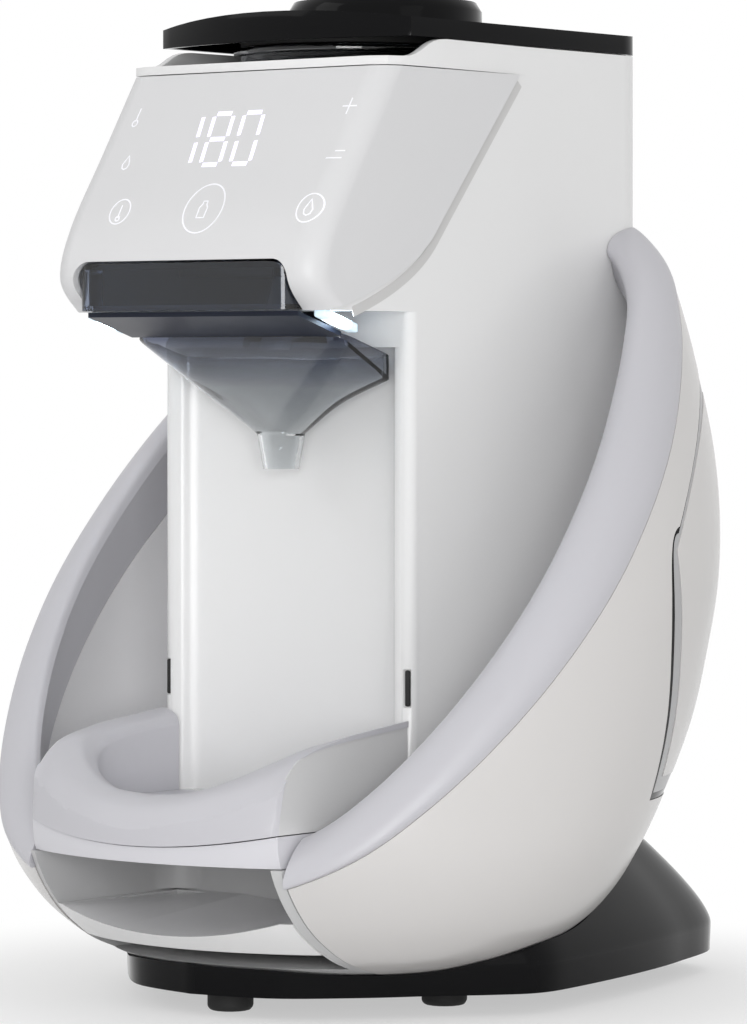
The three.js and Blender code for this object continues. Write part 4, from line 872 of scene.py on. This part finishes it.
def make_shelf():
    half, well = SHELF_HALF_WIDTH, WELL_HALF_WIDTH
    outline = plan(well + GAP, WELL_FRONT, -2 * GAP, well * WELL_ROUND_SHARE, GAP, SECTION_STEPS)
    floor = pull("floor", outline, "Z", BELT, SHELF_FLOOR)
    room = block(-half, half, -FAR, SHELF_BACK, 0, EGG_TOP)
    shelf = common(union(shelf_rim(), floor), egg(SHELF_SKIN), room)
    hollow_half = well - HOLLOW_SIDE
    hollow = block(-hollow_half, hollow_half, HOLLOW_FRONT, HOLLOW_BACK, 0, HOLLOW_TOP)
    shelf = cut(shelf, hollow, under_belt(0))
    for x in (-TAB_X, TAB_X):
        left, right = x - TAB_HALF_WIDTH, x + TAB_HALF_WIDTH
        shelf = union(shelf, block(left, right, TAB_FRONT, TAB_BACK, TAB_LOW, TAB_HIGH))
    top, front = CHEEK[-1][1], CHEEK[0][0]
    cheek = curve(CHEEK, CHEEK_STEPS)
    cheek += [(CHEEK_BACK, top), (CHEEK_BACK, CHEEK_LOW), (front, CHEEK_LOW)]
    for side, name in ((-1, "left"), (1, "right")):
        plate = between_sides(side, CHEEK_RECESS, CHEEK_PLATE, cheek)
        plate = common(shelf.copy(), plate)
        shelf = cut(shelf, between_sides(side, CHEEK_RECESS, -CHEEK_OUT, cheek))
        added("shelf_cheek_" + name, plate, "bottle_shelf", 30, CHEEK_GREY)
    finished("soft_shelf", shelf, ["bottle_shelf"], 36)


def make_apron():
    half, back = SHELF_HALF_WIDTH - APRON_SIDE, -2 * GAP
    sheet = block(-half, half, -FAR, back, APRON_LOW, APRON_HIGH)
    sheet = common(egg(APRON_INSET), sheet, under_belt(GAP))
    half = SHELF_HALF_WIDTH - APRON_ROOM_SIDE
    room = block(-half, half, -FAR, back - APRON_ROOM_SIDE, 0, APRON_ROOM_TOP)
    apron = cut(sheet, common(egg(APRON_ROOM_INSET), room))
    finished("shelf_apron", apron, ["shelf_skirt"], 36, PALE_LAVENDER)


# Drip tray and the liner of its cavity

TRAY_HALF_WIDTH, TRAY_TOP, TRAY_FOOT = OPENING_HALF_WIDTH - 0.6, 38.0, 19.5
TRAY_STEP, TRAY_STEP_OVERLAP, TRAY_FOOT_INSET = 25.6, 0.4, 8
TRAY_DIP, TRAY_TILT = 8.0, math.radians(4.8)
TRAY_WALL, TRAY_POCKET_INSET, TRAY_POCKET_DROP = 4, 12, 2
DIP_STEPS = 60
CAVITY_SIDE, CAVITY_LOW, CAVITY_HIGH = 0.8, 15.6, 58.1
ROOM_STEP, ROOM_FRONT_RADIUS, ROOM_BACK_RADIUS = TRAY_TOP + 0.6, 1, 14


def tray_bowl(drop):
    """The tilted round trough that the tray's top is hollowed by."""
    radius = (TRAY_HALF_WIDTH**2 + TRAY_DIP**2) / (2 * TRAY_DIP)
    outline = arc(0, TRAY_TOP - TRAY_DIP + radius, radius, -0.3 * TURN, -0.2 * TURN, DIP_STEPS)
    outline += [(FAR, EGG_TOP), (-FAR, EGG_TOP)]
    sine, cosine = math.sin(TRAY_TILT), math.cos(TRAY_TILT)
    lift = -egg_point(0, TRAY_TOP, 0)[1] * sine - drop
    return loft("bowl", [
        [(x, y * cosine - z * sine, y * sine + z * cosine + lift) for x, z in outline]
        for y in (-FAR, FAR)
    ])


def make_tray():
    half, wall, step = TRAY_HALF_WIDTH, TRAY_WALL, TRAY_STEP
    upper = common(egg(EGG_SKIN), block(-half, half, -FAR, TRAY_BACK, step, TRAY_TOP))
    foot = block(-half, half, -FAR, TRAY_BACK, TRAY_FOOT, step + TRAY_STEP_OVERLAP)
    lower = common(egg(TRAY_FOOT_INSET), foot)
    inside = block(-half + wall, half - wall, -FAR, TRAY_BACK - wall, 0, TRAY_TOP)
    pocket = cut(common(egg(TRAY_POCKET_INSET), inside), tray_bowl(TRAY_POCKET_DROP))
    tray = cut(union(upper, lower), tray_bowl(0), pocket)
    finished("tray_dish", tray, ["drip_tray"], 34)


def make_cavity():
    half, back = TRAY_HALF_WIDTH + GAP, TRAY_BACK + GAP
    low = block(-half, half, -FAR, back, TRAY_FOOT - GAP, ROOM_STEP)
    outline = plan(half, -FAR, back, ROOM_FRONT_RADIUS, ROOM_BACK_RADIUS)
    high = pull("room", outline, "Z", ROOM_STEP, EGG_TOP)
    half = CHANNEL_HALF_WIDTH - CAVITY_SIDE
    outer = block(-half, half, -FAR, back + BAY_WALL, CAVITY_LOW, CAVITY_HIGH)
    liner = cut(common(egg(GAP), outer), low, high)
    finished("cavity_liner", liner, ["tray_bay"], 34, BAY_GREY)


# Base: a flat plate whose tail rises behind the bowl

BASE_OUTLINE_SHARES = [
    (0, -0.2812), (0.2353, -0.2396), (0.4191, -0.125), (0.5441, -0.0156), (0.6471, 0.0625),
    (0.7206, 0.1458), (0.7206, 0.2708), (0.6765, 0.5104), (0.6103, 0.7188), (0.4963, 0.9375),
    (0.25, 0.9948), (0, 1),
]
TAIL_SHARES = [
    (0, 1), (0.08, 0.997), (0.2, 0.966), (0.35, 0.91), (0.51, 0.84), (0.69, 0.752), (0.84, 0.66),
    (1, 0.53),
]
TAIL_BACK, TAIL_TOP, TAIL_CENTRE, TAIL_REACH = 191.9, 70.0, 80.0, 112.0
PLATE_TOP, BASE_BOTTOM, BASE_WALL = 16.5, 8.0, 3.0
BASE_STEPS, BASE_ROWS = 72, 42
BASE_ROOM_STEPS, BASE_ROOM_ROWS, ROOM_EGG_STEPS, ROOM_EGG_ROWS = 24, 7, 96, 60
INLET_HALF_WIDTH, INLET_FRONT, INLET_LOW, INLET_HIGH = 13.4, 169.6, 13.6, 27.4
FEET = ((0, -31), (-52, 30), (52, 30), (-45, 150), (45, 150))
FOOT_HOLE_RADIUS, FOOT_HOLE_TOP = 6.35, 9.8


def base_loop(z, share, steps):
    outline = [(EGG_HALF_WIDTH * w, TAIL_BACK * d) for w, d in BASE_OUTLINE_SHARES]
    right = curve(outline, steps)
    left = [(-x, y) for x, y in reversed(right[1:-1])]
    return [(x * share, TAIL_CENTRE + (y - TAIL_CENTRE) * share, z) for x, y in right + left]


def base_blank(wall, steps, rows):
    floor = BASE_BOTTOM + wall
    loops = [base_loop(floor, 1 - (wall + GAP) / TAIL_REACH, steps)]
    for k, (height, share) in enumerate(curve(TAIL_SHARES, rows)):
        lowest = floor + GAP * (1 + 0.1 * k)
        z = max(PLATE_TOP + height * (TAIL_TOP - PLATE_TOP) - wall, lowest)
        loops.append(base_loop(z, share - wall / TAIL_REACH, steps))
    return loft("base", loops)


def make_base():
    room = base_blank(BASE_WALL, BASE_ROOM_STEPS, BASE_ROOM_ROWS)
    room = cut(room, egg(-BASE_WALL, ROOM_EGG_STEPS, ROOM_EGG_ROWS))
    inlet = block(
        -INLET_HALF_WIDTH, INLET_HALF_WIDTH, INLET_FRONT, TAIL_BACK + OVERRUN, INLET_LOW, INLET_HIGH
    )
    holes = [disc(FOOT_HOLE_RADIUS, 0, FOOT_HOLE_TOP, x, y) for x, y in FEET]
    base = cut(base_blank(0, BASE_STEPS, BASE_ROWS), egg(-GAP), room, inlet, *holes)
    finished("tail_base", base, ["base"], 24)


# Funnel, its flange and the lip that it is pulled out by, which stands further forward than
# the solid's

FLANGE_FRONT, FLANGE_THICKNESS, FLANGE_OVERLAP = -53, 1.8, 0.9
FUNNEL_FRONT, FUNNEL_BACK, FUNNEL_WALL, FUNNEL_DROP = -29.5, 4.4, 1.8, 0.54
RIM_DROP_FRONT, RIM_DROP_BACK = 1, 9
CORNER_POWER, MIDDLE_POWER, MIDDLE_SHARE = 8, 3, 0.45
CONE_HEIGHT, CONE_RADIUS = 211, 9
SPOUT_RADIUS, SPOUT_BOTTOM, SPOUT_Y = 6.8, 198, -2.0
FUNNEL_STEPS, FUNNEL_ROWS = 96, 16
LIP_HALF_WIDTH = NOTCH_HALF_WIDTH + 0.4
LIP_FRONT, LIP_BACK, LIP_TOP, LIP_WALL = -60.2, -46.4, 273.6, 2
LIP_RADIUS, LIP_INNER_RADIUS, LIP_CORNER = 6, 5, 7
LIP_PLAY = 2.4


def under_at(y):
    """Height of the head's sloping underside."""
    return UNDER_ROOT + (UNDER_ROOT_FRONT - y) * UNDER_SLOPE


def squircle(half, front, back, power, z):
    """Loop of an ellipse that a higher power draws into its corners; z is a height or f(y)."""

    def bend(value):
        return math.copysign(abs(value) ** (2 / power), value)

    loop = []
    for i in range(FUNNEL_STEPS):
        angle = TURN * i / FUNNEL_STEPS
        x = half * bend(math.sin(angle))
        y = (front + back) / 2 - (back - front) / 2 * bend(math.cos(angle))
        loop.append((x, y, z(y) if callable(z) else z))
    return loop


def funnel_side(inset, drop):
    """Loops down one side of the funnel's wall: rim, belly, cone and spout."""
    half, front, back = NOTCH_HALF_WIDTH - inset, FUNNEL_FRONT + inset, FUNNEL_BACK - inset
    cone, spout, y0 = CONE_RADIUS - inset, SPOUT_RADIUS - inset, SPOUT_Y
    fall = (RIM_DROP_BACK - RIM_DROP_FRONT) / (FUNNEL_BACK - FUNNEL_FRONT)

    def top(y):
        return under_at(y) - 2 * GAP

    def rim(y):
        return top(y) - RIM_DROP_FRONT - fall * (y - FUNNEL_FRONT) - drop

    def middle(y):
        return rim(y) + (CONE_HEIGHT - rim(y)) * MIDDLE_SHARE

    keys = [
        squircle(half, front, back, CORNER_POWER, rim),
        squircle(
            (half + cone) / 2, (front + y0 - cone) / 2, (back + y0 + cone) / 2, MIDDLE_POWER, middle
        ),
        squircle(cone, y0 - cone, y0 + cone, 2, CONE_HEIGHT - drop),
    ]
    belly = zip(*(curve(points, FUNNEL_ROWS) for points in zip(*keys)))
    first = squircle(half, front, back, CORNER_POWER, top)
    last = squircle(spout, y0 - spout, y0 + spout, 2, SPOUT_BOTTOM)
    return [first, *map(list, belly), last]


def make_funnel():
    outside, inside = funnel_side(0, 0), funnel_side(FUNNEL_WALL, FUNNEL_DROP)
    bowl = loft("funnel", list(reversed(outside)) + inside, ring=True)
    # The funnel takes smoke with painted shade towards its top
    finished("smoked_funnel", bowl, ["funnel"], 40, FUNNEL_SMOKE_AND_SHADE)
    upper = [(y, under_at(y) - 2 * GAP) for y in (FLANGE_FRONT, FUNNEL_FRONT + FLANGE_OVERLAP)]
    lower = [(y, z - FLANGE_THICKNESS) for y, z in reversed(upper)]
    flange = pull("flange", upper + lower, "X", -LIP_HALF_WIDTH, LIP_HALF_WIDTH)
    added("funnel_flange", flange, "funnel", 30, FLANGE_SMOKE)


def make_lip():
    low, half, wall = under_at(FLANGE_FRONT) - GAP, LIP_HALF_WIDTH, LIP_WALL
    body = pull("lip", plan(half, LIP_FRONT, LIP_BACK, LIP_RADIUS, GAP), "Z", low, LIP_TOP)
    hollow = plan(half - wall, LIP_FRONT + wall, LIP_BACK + LIP_PLAY, LIP_INNER_RADIUS, GAP)
    inside = pull("inside", hollow, "Z", low + wall, LIP_TOP - wall)
    face = rounded_top(half, LIP_TOP, LIP_CORNER)
    face = pull("face", face, "Y", LIP_FRONT - LIP_WALL, LIP_BACK + LIP_WALL)
    finished("smoked_lip", cut(common(body, face), inside), ["funnel_lip"], 34, LIP_SMOKE)


# Display: thin lit strokes that lie on the visor, in X and Z

STROKE_STEP, STROKE_LIFT, STROKE_SINK = 1.5, 0.14, 0.4
LOOP_CLOSED = 1e-6
EDGE_REACH = 9.6
SEGMENTS = {"1": "bc", "8": "abcdefg", "0": "abcdef"}
DIGIT_WIDE, DIGIT_TALL, DIGIT_PITCH, DIGIT_LEAN = 9.1, 19.3, 14.4, -0.16
DIGITS_LEFT, DIGITS_BOTTOM, SEGMENT_GAP = -21.0, 309.8, 1.1
DIGIT_STROKE, ICON_STROKE = 1.6, 0.48
DROP = [
    (0, 4.2), (-1.3, 1.6), (-2.0, 0), (-1.5, -1.7), (0, -2.4), (1.5, -1.7), (2.0, 0), (1.3, 1.6),
    (0, 4.2),
]
BOTTLE = [
    (-2.2, -4), (2.2, -4), (2.4, 0.6), (1.2, 2.2), (1.2, 3.6), (-1.2, 3.6), (-1.2, 2.2),
    (-2.4, 0.6), (-2.2, -4),
]


def visor_front(x, z):
    """Y of the visor's outer face at a place across and up the head."""
    share = halved(0, 1, lambda s: catmull(HEAD_CURVE, s)[1] < z)
    front = catmull(HEAD_CURVE, share)[0]
    beyond = min(EDGE_REACH, max(0, abs(x) - (VISOR_HALF_WIDTH - VISOR_RADIUS)))
    return front + VISOR_RADIUS - math.sqrt(VISOR_RADIUS**2 - beyond**2)


def stroke(line, width):
    """Loops of a thin ribbon along a line, laid on the visor, and whether the line closes."""
    closed = len(line) > 2 and math.dist(line[0], line[-1]) < LOOP_CLOSED
    dense = []
    for a, b in zip(line, line[1:]):
        steps = max(1, int(math.dist(a, b) / STROKE_STEP))
        dense += [towards(a, b, k / steps) for k in range(steps)]
    if not closed:
        dense.append(line[-1])
    last = len(dense) - 1
    loops = []
    for i, (x, z) in enumerate(dense):
        before = dense[i - 1] if closed or i > 0 else dense[0]
        after = dense[(i + 1) % len(dense)] if closed or i < last else dense[last]
        dx, dz = after[0] - before[0], after[1] - before[1]
        half = width / 2 / math.hypot(dx, dz)
        left, right = (x + dz * half, z - dx * half), (x - dz * half, z + dx * half)
        corners = (
            (left, STROKE_LIFT), (left, -STROKE_SINK), (right, -STROKE_SINK), (right, STROKE_LIFT),
        )
        loops.append([(px, visor_front(px, pz) - depth, pz) for (px, pz), depth in corners])
    return loops, closed


def on_visor(name, lines, width, material):
    mesh = lofts(name, [stroke(line, width) for line in lines])
    added(name, mesh, "head_visor", 40, material)


def digit_lines(digit, left):
    wide, tall, gap = DIGIT_WIDE, DIGIT_TALL, SEGMENT_GAP
    half = tall / 2
    spans = {
        "a": ((gap, tall), (wide - gap, tall)),
        "b": ((wide, half + gap), (wide, tall - gap)),
        "c": ((wide, gap), (wide, half - gap)),
        "d": ((gap, 0), (wide - gap, 0)),
        "e": ((0, gap), (0, half - gap)),
        "f": ((0, half + gap), (0, tall - gap)),
        "g": ((gap, half), (wide - gap, half)),
    }
    return [
        [(left + x + DIGIT_LEAN * z, DIGITS_BOTTOM + z) for x, z in spans[key]]
        for key in SEGMENTS[digit]
    ]


def ring(x, z, radius, steps=32):
    return arc(x, z, radius, 0, TURN, steps)


def bar(x, z, reach):
    return [(x - reach, z), (x + reach, z)]


def upright(x, z, reach):
    return [(x, z - reach), (x, z + reach)]


def drawn(outline, x, z, scale):
    return [(x + scale * p, z + scale * q) for p, q in outline]


def make_display():
    digits = []
    for i, digit in enumerate("180"):
        digits += digit_lines(digit, DIGITS_LEFT + DIGIT_PITCH * i)
    on_visor("display_digits", digits, DIGIT_STROKE, DIGITS)
    start_key = [ring(4.4, 293.4, 9.0, 44), drawn(BOTTLE, 4.2, 293.2, 0.8)]
    heat_key = [ring(-36, 293.0, 4.6), upright(-36, 293.0, 2.4), ring(-36, 290.4, 0.9, 12)]
    water_key = [ring(54.2, 292.6, 5.2), drawn(DROP, 54.2, 292.0, 0.9)]
    more_and_less = [
        bar(53.3, 330, 3), upright(53.3, 330, 3), bar(55.4, 310.8, 3), bar(56.9, 313.4, 1.7),
    ]
    levels = [upright(-48, 330, 2.5), ring(-48, 326.8, 1.2, 14), drawn(DROP, -43.6, 311, 0.8)]
    icons = start_key + heat_key + water_key + more_and_less + levels
    on_visor("display_icons", icons, ICON_STROKE, ICONS)


# Painted shadow behind the visor's side edge: a grey ribbon on the tower's side where the edge's
# shade falls

SEAM_STEPS = 20
SEAM_NEAR, SEAM_WIDE, SEAM_SINK, SEAM_LIFT = 2.6, 6.4, 0.3, 0.12


def make_painted_seam_shadows():
    line = [towards(SEAM_TOP, SEAM_KNEE, k / SEAM_STEPS) for k in range(SEAM_STEPS + 1)]
    line += quadratic(SEAM_KNEE, SEAM_BEND, SEAM_END)[:SEAM_STEPS]
    last = len(line) - 1
    for side, name in ((-1, "left"), (1, "right")):
        x_in, x_out = side * (TOWER_HALF_WIDTH - SEAM_SINK), side * (TOWER_HALF_WIDTH + SEAM_LIFT)
        corners = ((SEAM_NEAR, x_in), (SEAM_NEAR, x_out), (SEAM_WIDE, x_out), (SEAM_WIDE, x_in))
        loops = []
        for i, (y, z) in enumerate(line):
            a, b = line[max(0, i - 1)], line[min(last, i + 1)]
            size = math.dist(a, b)
            ny, nz = (a[1] - b[1]) / size, (b[0] - a[0]) / size
            loops.append([(x, y + ny * depth, z + nz * depth) for depth, x in corners])
        # A grey ribbon that paints the visor edge's shadow on the tower
        seam_shade = loft("seam_shade", loops)
        smooth(seam_shade, 40)
        place("visor_painted_shadow_" + name, seam_shade, PAINTED_SEAM_SHADOW, body_of["head_visor"])


# Studio: a white floor that keeps the shadow near the object, and soft light

FLOOR_SIZE, FLOOR_CELLS = 12.0, 8
FLOOR_NEAR, FLOOR_FAR, FLOOR_LIFT = 0.13, 0.27, 0.5
FLOOR_DARK, FLOOR_LIGHT, FLOOR_SCALE = (0.88, 0.88, 0.88), (0.9, 0.9, 0.9), 3
FLOOR_ROUGHNESS, FLOOR_GLOSS = 0.6, 0.1
WORLD_LEVEL = 0.55
LIGHT_AIM = Vector((0, 0, 0.18))
LIGHTS = [
    ("fill_front", (1.3, -1.62, 0.3), (0.9, 0.7), 18),
    ("key_left", (-1.3, -1.5, 1.5), (1.2, 1.2), 6),
    ("fill_right", (2.0, -0.6, 0.9), (1.0, 1.6), 2),
    ("top", (0.0, 0.2, 2.2), (1.6, 1.6), 4),
]


def maths(tree, operation, first, second):
    node = add(tree, "ShaderNodeMath", operation=operation)
    tree.links.new(first, node.inputs[0])
    tree.links.new(second, node.inputs[1])
    return node.outputs[0]


def seen_directly(tree):
    """1 for rays from the camera, from a reflection or through glass, else 0."""
    rays = add(tree, "ShaderNodeLightPath").outputs
    mirrored = maths(tree, "MAXIMUM", rays["Is Glossy Ray"], rays["Is Transmission Ray"])
    return maths(tree, "MAXIMUM", rays["Is Camera Ray"], mirrored)


def floor_material():
    """White floor that takes the shadow near the object and fades to plain white further out."""
    material, tree, shader = new_material("white_floor")
    tint = tinted(tree, noise(tree, FLOOR_SCALE), FLOOR_DARK, FLOOR_LIGHT)
    tree.links.new(tint, shader.inputs["Base Color"])
    preset(shader, {"Roughness": FLOOR_ROUGHNESS, "Specular IOR Level": FLOOR_GLOSS})
    where = add(tree, "ShaderNodeTexCoord")
    reach = add(tree, "ShaderNodeVectorMath", operation="LENGTH")
    tree.links.new(where.outputs["Object"], reach.inputs[0])
    fade = add(tree, "ShaderNodeMapRange", interpolation_type="SMOOTHSTEP")
    preset(fade, {"From Min": FLOOR_NEAR, "From Max": FLOOR_FAR, "To Min": FLOOR_LIFT})
    tree.links.new(reach.outputs["Value"], fade.inputs["Value"])
    plain = add(tree, "ShaderNodeEmission")
    preset(plain, {"Color": (1, 1, 1, 1)})
    share = maths(tree, "MULTIPLY", fade.outputs["Result"], seen_directly(tree))
    mix = add(tree, "ShaderNodeMixShader")
    tree.links.new(share, mix.inputs["Fac"])
    tree.links.new(shader.outputs[0], mix.inputs[1])
    tree.links.new(plain.outputs[0], mix.inputs[2])
    tree.links.new(mix.outputs[0], tree.nodes["Material Output"].inputs["Surface"])
    return material


def make_floor():
    mesh = bpy.data.meshes.new("floor")
    build = bmesh.new()
    bmesh.ops.create_grid(
        build, x_segments=FLOOR_CELLS, y_segments=FLOOR_CELLS, size=FLOOR_SIZE / 2
    )
    build.to_mesh(mesh)
    build.free()
    floor = in_scene("floor", mesh)
    mesh.materials.append(floor_material())


def make_world():
    world = bpy.data.worlds.new("world")
    bpy.context.scene.world = world
    world.use_nodes = True
    tree = world.node_tree
    back = tree.nodes["Background"]
    level = add(tree, "ShaderNodeMapRange")
    preset(level, {"To Min": WORLD_LEVEL, "To Max": 1.0})
    tree.links.new(seen_directly(tree), level.inputs["Value"])
    tree.links.new(level.outputs["Result"], back.inputs["Strength"])
    preset(back, {"Color": (1, 1, 1, 1)})


def make_lights():
    for name, where, size, power in LIGHTS:
        data = bpy.data.lights.new(name, "AREA")
        data.shape = "RECTANGLE"
        data.size, data.size_y = size
        data.energy = power
        lamp = in_scene(name, data)
        lamp.location = where
        lamp.rotation_euler = (LIGHT_AIM - Vector(where)).to_track_quat("-Z", "Y").to_euler()


bpy.context.scene.view_settings.view_transform = "Standard"
make_camera()
make_floor()
make_world()
make_lights()

make_bowl()
make_bezel()
make_liner()
make_visor()
make_bay_wall()
make_shelf()
make_apron()
make_tray()
make_cavity()
make_base()
make_funnel()
make_lip()
make_display()
make_painted_seam_shadows()
for node in frame["nodes"]:
    if node not in replaced:
        dressed(node)

# Bring the scene up to date after building
bpy.context.view_layer.update()
